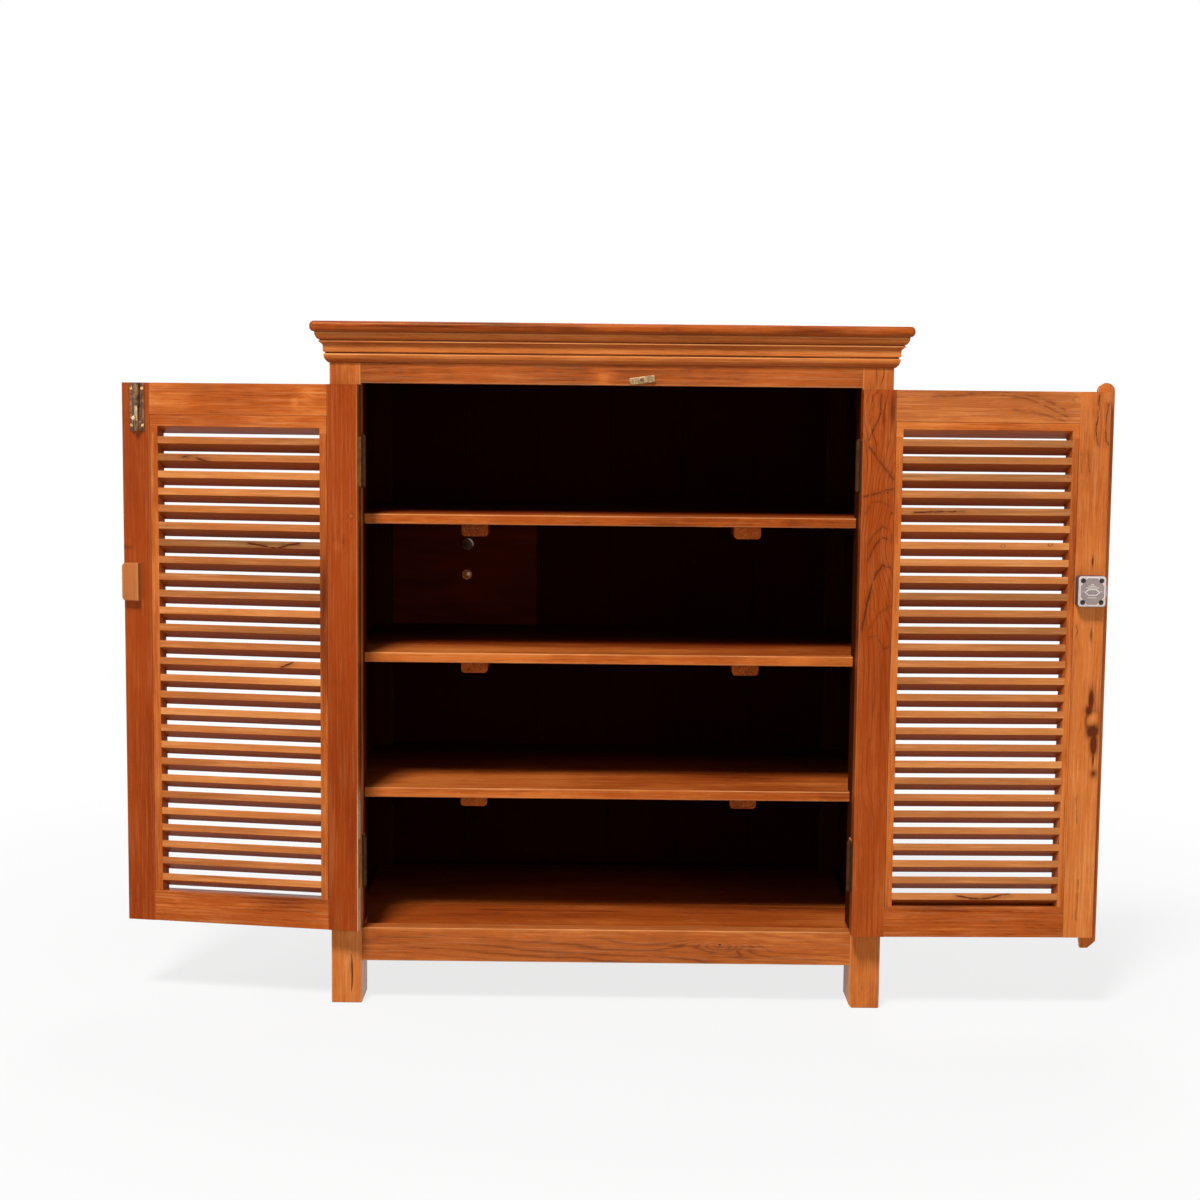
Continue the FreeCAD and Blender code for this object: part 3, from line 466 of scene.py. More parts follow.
def wood(name, s):
    f = Finish(name)
    raw = f.coordinates("Object")
    x, y, z = f.split(objectPoint(f, s["side"]))
    across, deep, length = {"z": (x, y, z), "x": (z, y, x), "y": (x, z, y)}[s["along"]]
    if s["turnAbove"]:
        over = z > s["turnAbove"]
        across, length = across + over * (length - across), length + over * (across - length)

    # every board of a row is cut from another place in the tree
    picks = None
    q = f.joined(across + s["seed"] * figure["seedStep"], deep, length + s["seed"])
    if s["boards"]:
        axis, start, pitch = s["boards"]
        index = (({"x": x, "y": y, "z": z}[axis] - start) / pitch).floor() + s["seed"]
        picks = f.split(f.node("ShaderNodeTexWhiteNoise", {"noise_dimensions": "1D"}, {"W": index}, out=1))
        cutA, cutD, cutL = figure["rowCut"]
        q = f.joined(across + picks[1] * cutA, deep + picks[2] * cutD, length + picks[0] * cutL)

    def noise(kind, out=0):
        shift, *numbers = grain[kind]
        value = f.noise(f.shifted(q, shift) if shift else q, *numbers, out=out)
        return f.ramp(value, *sharp[kind]) if kind in sharp else value

    # growth rings round a pith line beside the board; where it leans they draw arches
    wander = noise("wander") - 0.5
    wobble = noise("wobble")
    drift = noise("drift")
    a = across - s["pith"][0] + wander * figure["stray"]
    b = deep - (s["pith"][1] + frontY)
    if s["slant"]:
        b = b + (length - s["middle"]) * s["slant"]
    if picks:
        a = a + picks[1] * figure["rowPith"][0]
        b = b + picks[2] * figure["rowPith"][1]
    reach = (a * a + b * b).root() / s["ring"]
    masks = {}
    marks = [(kind, mark) for kind, listed in s["marks"].items() for mark in listed]
    for kind, numbers in marks:
        mask, bend = markShape(s, kind, numbers, across, length, wobble, drift)
        if bend is not None:
            reach = reach + bend
        if mask is not None:
            masks[kind] = masks[kind].most(mask) if kind in masks else mask
    reach = reach + (wobble - 0.5) * figure["ripple"]
    turn = reach.fract()
    ring = f.ramp(turn, *sharp["ring"])
    strong = noise("strong")

    parts = {part: noise(part) for part in ("fibre", "lines", "mottle", "pores", "patch", "broad", "vein")}
    patch, broad, fibre, pores = (parts[part] for part in ("patch", "broad", "fibre", "pores"))
    tone = s["level"]
    for part, weight in figure["tone"].items():
        uneven = s["drift"] if part in ("patch", "broad") else 1.0
        tone = tone + (parts[part] - 0.5) * (weight * uneven)
    tone = tone - ring * strong * s["rings"] - parts["vein"] * s["veins"] - pores * figure["pores"]
    if picks:
        tone = tone + (picks[2] - 0.5) * s["spread"]
    if s["outline"]:
        depth, middle, reachAlong = s["outline"]
        window = ((length - middle) / reachAlong).bell()
        tone = tone - f.ramp(turn, *sharp["outline"]) * (drift * 1.7) * (window * 0.9 + 0.1) * depth
    if "glow" in masks:
        tone = tone + masks["glow"] * figure["glow"]
    colour = f.ramp(tone.clamped(), *teak["tones"])
    for kind in ("honey", "red"):
        if s[kind]:
            colour = f.mix(s[kind], colour, teak[kind])
    if s["flecks"]:
        colour = f.mix(noise("fleck") * (broad * 1.6) * s["flecks"], colour, teak["fleck"])
    if "stain" in masks:
        colour = f.mix(masks["stain"] * (drift * 1.4 + 0.1), colour, teak["stain"])
    if s["paths"]:
        colour = veined(f, s, colour, across, length, noise)
    for kind in ("knot", "line", "eye"):
        if kind in masks:
            colour = f.mix(f.ramp(masks[kind], *sharp["mark"]), colour, teak["knot"])
    if s["arris"] and s["box"]:
        colour = wornAndHighlightedEdges(f, s, colour, (x, y, z), wobble, drift)
    if s["quirks"]:
        colour = moulded(f, s, colour, z, drift)
    if s["edgeFace"]:
        colour = edgeFace(f, s, colour, x, y, z)
    # painted shade: faces that look downwards are darkened towards the under colour
    normalZ = f.split(f.coordinates("Normal"))[2]
    colour = f.mix(f.ramp(0 - normalZ, *sharp["under"]) * s["under"], colour, teak["under"])

    rough = teak["roughness"] + (patch - 0.5) * 0.5 + pores * 0.12
    if s["dim"]:
        colour, dark = paintedShadeInside(f, s, colour, raw, drift)
        rough = rough + dark * 0.3
    height = fibre * 0.6 - ring * 0.2 - pores * 0.8
    if "line" in masks:
        height = height - masks["line"] * 1.5
    normal = f.bump(height, *figure["relief"], f.bump(noise("waves"), *figure["waves"]))
    return f.surface({"Base Color": colour, "Roughness": rough, "Normal": normal,
                      "Specular IOR Level": teak["specular"] * s["gloss"], "Specular Tint": teak["tint"]})


def slatRow(top, pitch, count=40):
    # slats are told apart by height, counted down from the top of their row
    return ("z", top - count * pitch, pitch)


# heights of the cornice's grooves, painted with shade, and of the arrises below them, painted with
# highlights
quirks = ((0.8742, 0.8906, 0.9009, 0.8618), (0.8724, 0.8889))

# settings of each piece or set of like pieces, in metres: the axis the grain runs along, where in the
# tree it was cut (seed, pith, slant), its tone (level), how red or figured it is, and how far in it is
# painted with shade going dark (dim, shell). Its own knots, cracks, stains (marks) and veins (paths) are in
# millimetres
boards = {
    "front_post_left": {
        "seed": 0.3, "pith": (-0.62, 0.3), "level": 0.62, "honey": 0.1, "rings": 0.03,
        "dim": (0.01, 0.036), "shell": ("x", 0.3302), "above": 0.1045,
        "marks": {"line": [(-344.5, 68, -344, 16, 1.6, 1.2)], "stain": [(-344.3, 50, 2, 10, 0.8)]}},
    "front_post_right": {
        "seed": 1.9, "pith": (0.62, 0.22), "level": 0.54, "honey": 0.1, "rings": 0.03,
        "dim": (0.002, 0.02), "shell": ("x", 0.3302), "above": 0.1045,
        "marks": {"line": [(347, 838, 345.5, 866, 1, 1), (352, 838, 357, 862, 0.8, 2)]}},
    "rear_post_left rear_post_right": {
        "seed": 3.1, "level": 0.46, "dim": (-0.1, 0), "shell": ("x", 0.37), "above": 0.09, "before": 0.219,
        "gloss": 0.4},
    "front_top_rail": {
        "along": "x", "seed": 4.2, "pith": (1.05, 0.12), "level": 0.31, "honey": 0.08, "flecks": 0.18,
        "spread": 0.08, "veins": 0.16, "boards": ("x", -0.618, 0.6),
        "marks": {"glow": [(846, -12, 22, 14, 0.9)]}},
    "front_bottom_rail": {
        "along": "x", "seed": 5.6, "pith": (0.12, 0.045), "slant": 0.06, "middle": 0.16, "level": 0.49,
        "honey": 0.12, "rings": 0.24, "ring": 0.006, "veins": 0.16, "flecks": 0.18,
        "marks": {"knot": [(85.6, 153.8, 1.2, 2.2)], "eye": [(85.6, 153.8, 5, 12)],
            "swell": [(85, 148, 12, 45, 3.5)]}},
    "rear_top_rail rear_bottom_rail": {
        "along": "x", "seed": 6, "level": 0.4, "red": 0.3, "dim": (-0.1, 0), "shell": ("y", 0.209),
        "gloss": 0.15},
    "side_top_rails side_bottom_rails": {
        "along": "y", "seed": 7.3, "pith": (0.2, 0.4), "level": 0.5, "dim": (-0.02, 0.06),
        "shell": ("x", 0.356), "gloss": 0.5},
    "side_cleats": {"along": "y", "seed": 7.9, "level": 0.4, "red": 0.2, "dim": (0, 0.09), "gloss": 0.2},
    "shelf_battens": {
        "along": "y", "seed": 8.8, "level": 0.4, "red": 0.1, "dim": (0.075, 0.16), "gloss": 0.6},
    "side_panel_left side_panel_right": {
        "seed": 8.4, "pith": (0.5, 0.3), "level": 0.5, "boards": ("y", frontY + 0.06, 0.1017),
        "dim": (-0.06, 0.02), "shell": ("x", 0.3562), "gloss": 0.4},
    "back_boards": {
        "seed": 9.1, "pith": (0.1, 0.2), "level": 0.42, "red": 0.2, "boards": ("x", -0.3293, 0.10977),
        "dim": (-0.1, 0), "shell": ("y", 0.2145), "gloss": 0.1},
    "floor_boards": {
        "along": "x", "seed": 11, "pith": (0.25, 0.1), "level": 0.6, "red": 0.12, "veins": 0.3,
        "boards": ("y", frontY + 0.0463, 0.1077), "dim": (0.18, 0.44), "gloss": 0.6, "flecks": 0.05},
    "top_board": {
        "along": "x", "seed": 17, "pith": (0.8, 0.2), "level": 0.38, "veins": 0.25, "flecks": 0.12,
        "marks": {"stain": [(907, -55, 4, 30, 0.9), (907, 270, 3, 40, 0.7), (906, -265, 3, 30, 0.6)]}},
    "cornice_front": {
        "along": "x", "seed": 18.4, "pith": (0.8, 0.1), "level": 0.54, "honey": 0.15, "quirks": quirks},
    "cornice_left cornice_right": {
        "along": "y", "seed": 19.4, "pith": (0.3, 0.8), "level": 0.49, "quirks": quirks},
    "left_door_hinge_stile": {
        "seed": 20.7, "pith": (-0.6, 0.2), "level": 0.37, "red": 0.72, "drift": 1.3, "flecks": 0.1,
        "edgeFace": (-0.324, 0.27),
        "marks": {"eye": [(8.2, 661.9, 4.6, 5.2)],
            "glow": [(8.2, 661.9, 2, 2.6, 1.2), (26.1, 621.7, 7, 6, 0.9)],
            "stain": [(18.5, 628, 1.6, 9, 0.5)], "swell": [(26.1, 621.7, 12, 20, 2)]}},
    "left_door_meeting_stile": {
        "seed": 21.7, "pith": (0.4, 0.2), "level": 0.34, "red": 0.72, "drift": 1.4, "flecks": 0.1,
        "marks": {"stain": [(322, 614, 9, 3, 0.9)]}},
    "left_door_top_rail": {
        "along": "x", "seed": 22.3, "pith": (1.2, 0.1), "level": 0.56,
        "marks": {"glow": [(66, 820, 15, 10, 0.8), (84, 812, 6, 8, 0.6)],
            "swell": [(74, 818, 11, 13, 1.6)], "stain": [(200, 822, 30, 8, 0.25)]}},
    "left_door_bottom_rail": {"along": "x", "seed": 23.5, "pith": (0.6, 0.1), "level": 0.45},
    "left_door_louvre_strips": {
        "seed": 24.1, "level": 0.5, "red": 0.12, "arris": 0, "turnAbove": 0.768,
        # its stain mark is painted shade in the gap beside the hinge stile
        "marks": {"stain": [(45.5, 545, 6, 85, 1.2)]}},
    "left_door_slats": {
        "along": "x", "seed": 2, "pith": (0.5, 0.1), "level": 0.5, "drift": 1.5, "honey": 0.38,
        "spread": 0.44, "veins": 0.3, "arris": 0, "under": 0.85, "gloss": 0.08, "flecks": 0.34,
        "boards": slatRow(0.7636, 0.0227), "sway": 0.0024,
        "marks": {"eye": [(233.4, 530.3, 3, 2.4), (176.8, 531.8, 3.2, 2.6), (110.5, 531.5, 3.4, 2.8),
            (148.7, 487.5, 3.4, 2.8)]},
        "paths": [(0.95, 1.1, (240, 736), (226, 736.5), (206, 729.5)),
            (0.95, 1, (149, 623), (130, 620.2), (113, 617.4)),
            (0.95, 1, (107, 617.6), (95, 621.5), (78, 624.6)),
            (0.85, 0.9, (105, 459.4), (94, 463.4), (86, 467.8))]},
    "right_door_hinge_stile": {
        "seed": 30.7, "pith": (0.6, 0.02), "level": 0.44, "red": 0.58, "flecks": 0.1, "ring": 0.007,
        "outline": (0.75, 0.69, 0.19),
        "marks": {"swell": [(34, 630, 26, 85, 5.5), (6, 800, 16, 40, 2.6), (12, 330, 12, 70, 1.8)],
            "stain": [(37.8, 806, 5, 20, 1.1)], "eye": [(33.6, 699, 4.2, 4.4)],
            "knot": [(34, 699, 1.2, 1.2)]},
        "paths": [(0.85, 0.6, (22.6, 827), (22.4, 804), (16.5, 787), (7.4, 768)),
            (0.45, 0.5, (10.5, 826), (12.5, 812), (8, 788)), (0.6, 1.1, (8, 759), (24.3, 737), (41, 717)),
            (0.7, 0.7, (3, 694.5), (20, 698), (40.5, 705)),
            (0.4, 0.6, (4.5, 671), (12.5, 685.5), (22.9, 689), (36, 683)),
            (0.6, 0.6, (9.8, 631), (16.5, 644), (28, 656), (35.6, 650)),
            (0.75, 0.75, (11.1, 611), (18, 629), (28, 641), (34.6, 639)),
            (0.95, 0.75, (4, 518), (10.5, 552), (17.5, 584), (29.5, 605.5), (36.1, 601.5), (42, 603)),
            (0.4, 0.6, (13, 520), (27, 540), (42, 552)),
            (0.5, 0.6, (14.4, 509.6), (26.5, 511), (33.6, 494), (41, 497))]},
    "right_door_meeting_stile": {
        "seed": 31.7, "pith": (-0.5, 0.15), "level": 0.6, "honey": 0.1,
        "marks": {"stain": [(306.4, 612, 1.3, 7, 1.4), (307.8, 516, 1.6, 10, 0.9),
            (310.8, 429, 3.6, 13, 2), (308, 415, 5, 6, 1.5), (315.5, 386, 7.5, 8, 2),
            (316.5, 370, 4.8, 14, 2), (316, 350, 1.6, 12, 1.2), (317.7, 330, 4.6, 6.2, 1.1)],
            "glow": [(314, 404, 6, 9, 1), (317.7, 330, 2, 2.8, 1.2)], "eye": [(314, 403, 12, 15)]},
        "paths": [(0.8, 0.6, (307, 828), (307.5, 812), (306, 797), (304.9, 783), (308, 764)),
            (0.75, 0.6, (320, 818), (318.8, 806), (316.4, 784), (318.5, 770), (322, 764)),
            (0.45, 0.5, (286.7, 752), (287.5, 741), (286.5, 728)),
            (0.5, 0.5, (294.6, 757), (296.5, 745), (298.2, 730)),
            (0.45, 0.5, (287.7, 528), (289, 520), (287.5, 508)),
            (0.4, 0.5, (297.5, 300), (295.8, 287), (297.5, 262)),
            (0.45, 0.5, (301.5, 185), (302, 158), (301, 130))]},
    "right_door_top_rail": {
        "along": "x", "seed": 32.7, "pith": (0.864, 0.03), "slant": 0.1, "middle": 0.1, "level": 0.5,
        "honey": 0.22, "rings": 0.14,
        "marks": {"eye": [(277.7, 823, 6, 6)], "glow": [(282, 823, 5, 9, 0.8)],
            "swell": [(230, 815, 10, 22, 1.8)]},
        "paths": [(0.4, 1.2, (91, 824.3), (131.7, 827.2), (172.3, 832.4), (196.9, 831.1),
             (229.8, 824.9), (263, 809.1)),
            (0.42, 1.1, (180.6, 827.7), (213.5, 822.7), (238.3, 812.9), (267.4, 800.2)),
            (0.36, 1.2, (197.6, 808.4), (230.5, 803.9), (263.5, 794.5))]},
    "right_door_bottom_rail": {"along": "x", "seed": 33.9, "pith": (0.7, 0.1), "level": 0.42},
    "right_door_louvre_strips": {"seed": 34.6, "level": 0.55, "arris": 0, "turnAbove": 0.7725},
    "right_door_slats": {
        "along": "x", "seed": 5, "pith": (0.5, 0.1), "level": 0.49, "spread": 0.44, "drift": 1.5,
        "honey": 0.5, "veins": 0.3, "arris": 0, "under": 0.85, "gloss": 0.08, "flecks": 0.4,
        "boards": slatRow(0.7706, 0.02233), "sway": 0.0024,
        "marks": {"eye": [(137.3, 632.5, 3.6, 2.8), (187.4, 631.2, 3.6, 2.8), (249.2, 633.5, 3.6, 2.8)]},
        "paths": [(0.8, 0.8, (70, 673.5), (95, 675), (134, 675.2)), (0.6, 0.9, (236, 709.5), (262, 709)),
            (0.85, 1, (140, 163.3), (159, 159.5), (177, 158.8), (193, 162.6), (209, 166))]},
    "lock_keeper_block": {"side": "left", "seed": 40, "level": 0.36, "honey": 0.4, "flecks": 0.06},
    "astragal": {"side": "right", "seed": 41, "pith": (0.1, 0.3), "level": 0.55},
    "back_patch_board": {
        "along": "x", "seed": 10.2, "pith": (0.5, 0.3), "level": 0.3, "dim": (-1, 0.9), "arris": 0,
        "gloss": 0.15},
}
# each shelf: its tone, where its painted shade begins and ends inwards, and its flecks
for number, level, dim, flecks in ((1, 0.45, (0.05, 0.16), 0.12), (2, 0.52, (0.075, 0.26), 0.1),
                                   (3, 0.53, (0.12, 0.34), 0.1)):
    boards[f"shelf_{number}"] = {"along": "x", "seed": 12 + 1.3 * number, "pith": (0.5, 0.1), "level": level,
                                 "dim": dim, "gloss": 0.6, "flecks": flecks}


def paint(names, material):
    for name in names.split():
        for place in nodes[name].material_slots:
            place.material = material


for names, own in boards.items():
    first, *others = names.split()
    side, *door = first.split("_door_")
    settings = {**plainBoard, **({"side": side, **doorBoard} if door else {}), **own}
    settings["box"] = None if others or not settings["arris"] else closedBox(first, settings["side"])
    paint(names, wood("teak_" + first, settings))
print("wood finished")


plainMetal = {"tarnish": 0.5, "rough": 0.4, "spots": 0.4, "metallic": 0.7, "shine": 0.5}
metals = {
    "hingeBrass": {"tint": (0.560, 0.235, 0.070), "tarnish": 0.6, "rough": 0.5, "metallic": 0.2,
                   "shine": 0.05, "shadeTowardsOpening": (0.3272, (0.020, 0.006, 0.004))},
    "antiqueBrass": {"tint": (0.250, 0.125, 0.062), "tarnish": 0.36, "spots": 0.6},
    "rodBrass": {"tint": (0.68, 0.45, 0.25), "tarnish": 0.62, "rough": 0.3, "spots": 0.3, "metallic": 0.8},
    "paleBrass": {"tint": (0.50, 0.31, 0.15), "rough": 0.42, "spots": 0.5, "metallic": 0.6},
    "screwBrass": {"tint": (0.80, 0.54, 0.25), "tarnish": 0.6, "rough": 0.28, "spots": 0.3, "metallic": 0.8},
    "lockPlate": {"tint": (0.46, 0.39, 0.36), "tarnish": 0.72, "spots": 0.2, "metallic": 0.45,
                  "levels": ((0.0322, (0.045, 0.020, 0.045)), (0.0329, (0.52, 0.45, 0.42)),
                             (0.0335, (0.50, 0.43, 0.40)), (0.0337, (0.22, 0.165, 0.145)),
                             (0.0340, (0.26, 0.195, 0.175)), (0.0342, (0.66, 0.58, 0.55)),
                             (0.0344, (0.11, 0.075, 0.065)), (0.0346, (0.70, 0.62, 0.60)))},
    "darkSteel": {"tint": (0.060, 0.038, 0.036), "tarnish": 0.55, "rough": 0.42},
    "steel": {"tint": (0.42, 0.35, 0.31), "rough": 0.34},
    "darkBoltSteel": {"tint": (0.200, 0.075, 0.045), "tarnish": 0.3, "rough": 0.45, "spots": 0.5,
                    "metallic": 0.2, "shine": 0.15,
                    "paintedGlint": (-0.2148, 0.5968, 0.0074, 0.0013, (0.95, 0.82, 0.76))},
    "domeBrass": {"tint": (0.950, 0.290, 0.055), "tarnish": 0.45, "rough": 0.3, "metallic": 0.1,
                  "paintedGlint": (-0.2160, 0.5503, 0.0026, 0.0018, (1.0, 0.88, 0.74))},
}


def metal(name):
    s = {**plainMetal, **metals[name]}
    f = Finish(name)
    p = objectPoint(f, "right" if "levels" in s else None)
    x, y, z = f.split(p)
    cloud = f.noise(p, (90, 90, 90), 4.0, 0.6)
    spots = f.ramp(f.noise(p, (420, 420, 420), 3.0), (0.50, 0.0), (0.68, 1.0))
    dark = tuple(c * s["tarnish"] for c in s["tint"])
    colour = f.mix(f.ramp(cloud, (0.35, 0.0), (0.65, 1.0)), s["tint"], dark)
    colour = f.mix(spots * s["spots"], colour, tuple(c * 0.4 for c in dark))
    if "levels" in s:
        # cast zinc coloured by depth: dark sides, painted shade in the recesses, and painted highlight on
        # the raised parts
        first, last = s["levels"][0][0], s["levels"][-1][0]
        stops = [((v - first) / (last - first), tint) for v, tint in s["levels"]]
        colour = f.mix(0.82, colour, f.ramp((y - (frontY + first)) / (last - first), *stops))
    if "shadeTowardsOpening" in s:
        # painted shade: the side towards the dark opening is painted nearly black
        limit, tint = s["shadeTowardsOpening"]
        colour = f.mix(f.ramp((x.size() - limit) / 0.001, (0.0, 1.0), (1.0, 0.0)) * 0.9, colour, tint)
    if "paintedGlint" in s:
        # painted highlight: a bright crescent on the upper right of a bolt head
        middleX, middleZ, radius, half, tint = s["paintedGlint"]
        dx, dz = x - middleX, z - middleZ
        ring = (((dx * dx + dz * dz).root() - radius) / half).bell()
        toward = f.ramp((dx * 0.82 + dz * 0.57) / radius, (0.45, 0.0), (0.95, 1.0))
        colour = f.mix(ring * toward, colour, tint)
    scratch = f.noise(p, (60, 60, 2500), 2.0, 0.7)
    return f.surface({"Base Color": colour, "Metallic": s["metallic"], "Specular IOR Level": s["shine"],
                      "Roughness": s["rough"] + cloud * 0.25 + spots * 0.1,
                      "Normal": f.bump(scratch - spots * 0.6, 0.12, 0.0003)})


finishes = {name: metal(name) for name in metals}
fittings = {
    "hinge_pins hinge_post_leaves hinge_post_screws": "hingeBrass",
    "left_door_hinge_leaves left_door_hinge_screws": "hingeBrass",
    "right_door_hinge_leaves right_door_hinge_screws": "hingeBrass",
    "tower_bolt_keeper lock_cylinder turn_button_screw": "antiqueBrass",
    "patch_bolt_brass": "domeBrass",
    "patch_bolt_steel": "darkBoltSteel",
    "tower_bolt_screws": "screwBrass",
    "lock_screws": "darkSteel",
    "lock_bolt": "steel",
}
for names, finish in fittings.items():
    paint(names, finishes[finish])
print("metal finished")


# the sizes of the fittings are in millimetres
def only(piece):
    bpy.ops.object.select_all(action="DESELECT")
    if piece:
        piece.select_set(True)
        bpy.context.view_layer.objects.active = piece


def fixed(piece):
    # its place, turn and scale go into its mesh
    only(piece)
    bpy.ops.object.transform_apply(location=True, rotation=True, scale=True)


def doorPoint(side, u, v, z):
    # v runs from a closed door's outer face inwards
    return (doorX(side, u / 1000), frontY + v / 1000, z / 1000)


def startBlock(low, high):
    # a block between two corners, given in metres
    only(None)
    bpy.ops.mesh.primitive_cube_add(size=1, location=[(a + b) / 2 for a, b in zip(low, high)])
    block = bpy.context.object
    block.scale = [abs(b - a) for a, b in zip(low, high)]
    fixed(block)
    return block


def doorBlock(side, low, high):
    a, b = doorPoint(side, *low), doorPoint(side, *high)
    return startBlock([min(p) for p in zip(a, b)], [max(p) for p in zip(a, b)])


def startRod(foot, along, length, radius, faces=40):
    # the foot is given in metres
    only(None)
    direction = Vector(along)
    bpy.ops.mesh.primitive_cylinder_add(vertices=faces, radius=radius / 1000, depth=length / 1000,
                                        location=Vector(foot) + direction * (length / 1000) / 2,
                                        rotation=direction.to_track_quat("Z", "Y").to_euler())
    rod = bpy.context.object
    fixed(rod)
    return rod


def doorRod(side, foot, length, radius, faces=40, along=(0, 1, 0)):
    # stands straight out from the door unless told otherwise
    return startRod(doorPoint(side, *foot), along, length, radius, faces)


def editPart(piece, kind, test):
    # goes into edit mode with the faces or edges selected that pass the test
    only(piece)
    bpy.ops.object.mode_set(mode="EDIT")
    bpy.ops.mesh.select_mode(type=kind)
    bpy.ops.mesh.select_all(action="DESELECT")
    bpy.ops.object.mode_set(mode="OBJECT")
    points = [vertex.co for vertex in piece.data.vertices]
    if kind == "FACE":
        for face in piece.data.polygons:
            face.select = test(face.center, face.normal)
    else:
        for edge in piece.data.edges:
            edge.select = test(*[points[k] for k in edge.vertices])
    bpy.ops.object.mode_set(mode="EDIT")


closeTo = 0.00001
upwards = (0, 0, 1)


def runsAlong(axis):
    # picks the edges that run along one axis
    return lambda a, b: abs((b - a)[axis]) > 0.98 * (b - a).length


def runsRound(axis):
    # picks the rims of a rod along one axis
    return lambda a, b: abs((a - b)[axis]) < closeTo


def liesAt(axis, level):
    # picks the edges that lie in a plane
    return lambda a, b: abs(a[axis] - level) < closeTo and abs(b[axis] - level) < closeTo


def onTop(level):
    # picks the faces at the top of a door's fitting, which look away from the door
    return lambda middle, normal: normal.y > 0.9 and middle.y > level - 10 * closeTo


def roundEdges(piece, width, steps, test):
    editPart(piece, "EDGE", test)
    bpy.ops.mesh.bevel(offset=width / 1000, segments=steps, affect="EDGES")
    bpy.ops.object.mode_set(mode="OBJECT")


def insetFaces(piece, border, lift, test):
    # a border inside the picked faces, then the middle raised or sunk along its normal
    editPart(piece, "FACE", test)
    bpy.ops.mesh.inset(thickness=border / 1000, depth=0)
    bpy.ops.mesh.extrude_region_shrink_fatten(TRANSFORM_OT_shrink_fatten={"value": lift / 1000})
    bpy.ops.object.mode_set(mode="OBJECT")


def combined(piece, other, operation):
    only(piece)
    change = piece.modifiers.new("combine", "BOOLEAN")
    change.operation = operation
    change.solver = "EXACT"
    change.object = other
    bpy.ops.object.modifier_apply(modifier=change.name)
    bpy.data.objects.remove(other)


def joinTo(piece, other):
    combined(piece, other, "UNION")


def cutFrom(piece, other):
    combined(piece, other, "DIFFERENCE")


def placed(piece, name, side, body, node, finish):
    # smooth where it is rounded, moved to where the open door stands, and handed to its body
    only(piece)
    bpy.ops.object.mode_set(mode="EDIT")
    bpy.ops.mesh.select_all(action="SELECT")
    bpy.ops.mesh.remove_doubles(threshold=0.000005)
    bpy.ops.mesh.dissolve_degenerate(threshold=0.000005)
    bpy.ops.mesh.normals_make_consistent(inside=False)
    bpy.ops.object.mode_set(mode="OBJECT")
    bpy.ops.object.shade_smooth_by_angle(angle=radians(32))
    if side:
        piece.matrix_world = toRest(side)
        fixed(piece)
    piece.name = name
    piece.data.materials.clear()
    piece.data.materials.append(finishes[finish])
    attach(piece, body)
    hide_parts(node)


# heights of the wells, bars and wings are counted from the middle of the lock
lockCase = {
    "u": 302.9, "z": 573.2, "width": 36.7, "height": 40.5, "back": 18.0, "face": 33.1,
    "cornerRadius": 4.2, "rim": 1.1,
    "plate": {"halfWidth": 16.9, "halfHeight": 18.9, "foot": 1.5, "top": 34.2, "border": 1.5, "sunk": 0.5},
    "badge": {"halfWidth": 10.6, "halfHeight": 4.4, "foot": 1.0, "lower": 1.0, "top": 34.6, "border": 1.2,
              "sunk": 0.25},
    "wells": (12.1, 14.2), "wellRadius": 3.4, "wellFloor": 30.5, "screwRadius": 1.6,
    "wings": {"from": 9.9, "to": 14.6, "heights": (-2.0, 0.0), "tall": 0.9, "top": 34.5},
    "bars": ((8.4, 4.4, 0.9), (5.2, 6.6, 0.9), (2.0, 8.6, 1.2), (6.2, -8.4, 0.8)), "barTop": 34.2,
    "barrelU": 298.5, "barrelRadius": 8.0, "barrelFoot": -1.8, "barrelLength": 21.0, "plugRadius": 5.0,
    "boltSlot": ((296.5, 27.7, 566.1), (330.0, 31.9, 580.3)),
}


def plateFor(case, shape, faces):
    # a flat plate with many sides on the front of the lock case, sunk inside its border
    low, top = (case["face"] - shape["foot"]) / 1000, shape["top"] / 1000
    centre = doorPoint("right", case["u"], case["face"] - shape["foot"], case["z"] - shape.get("lower", 0))
    only(None)
    bpy.ops.mesh.primitive_cylinder_add(vertices=faces, radius=1, depth=1, rotation=(radians(90), 0, 0))
    plate = bpy.context.object
    fixed(plate)
    plate.rotation_euler = (0, radians(180 / faces), 0)
    fixed(plate)
    reachX, reachZ = max(v.co.x for v in plate.data.vertices), max(v.co.z for v in plate.data.vertices)
    plate.scale = (shape["halfWidth"] / reachX / 1000, top - low, shape["halfHeight"] / reachZ / 1000)
    plate.location = (centre[0], centre[1] + (top - low) / 2, centre[2])
    fixed(plate)
    insetFaces(plate, shape["border"], -shape["sunk"], onTop(frontY + top))
    roundEdges(plate, 0.25, 2, liesAt(1, frontY + top))
    return plate


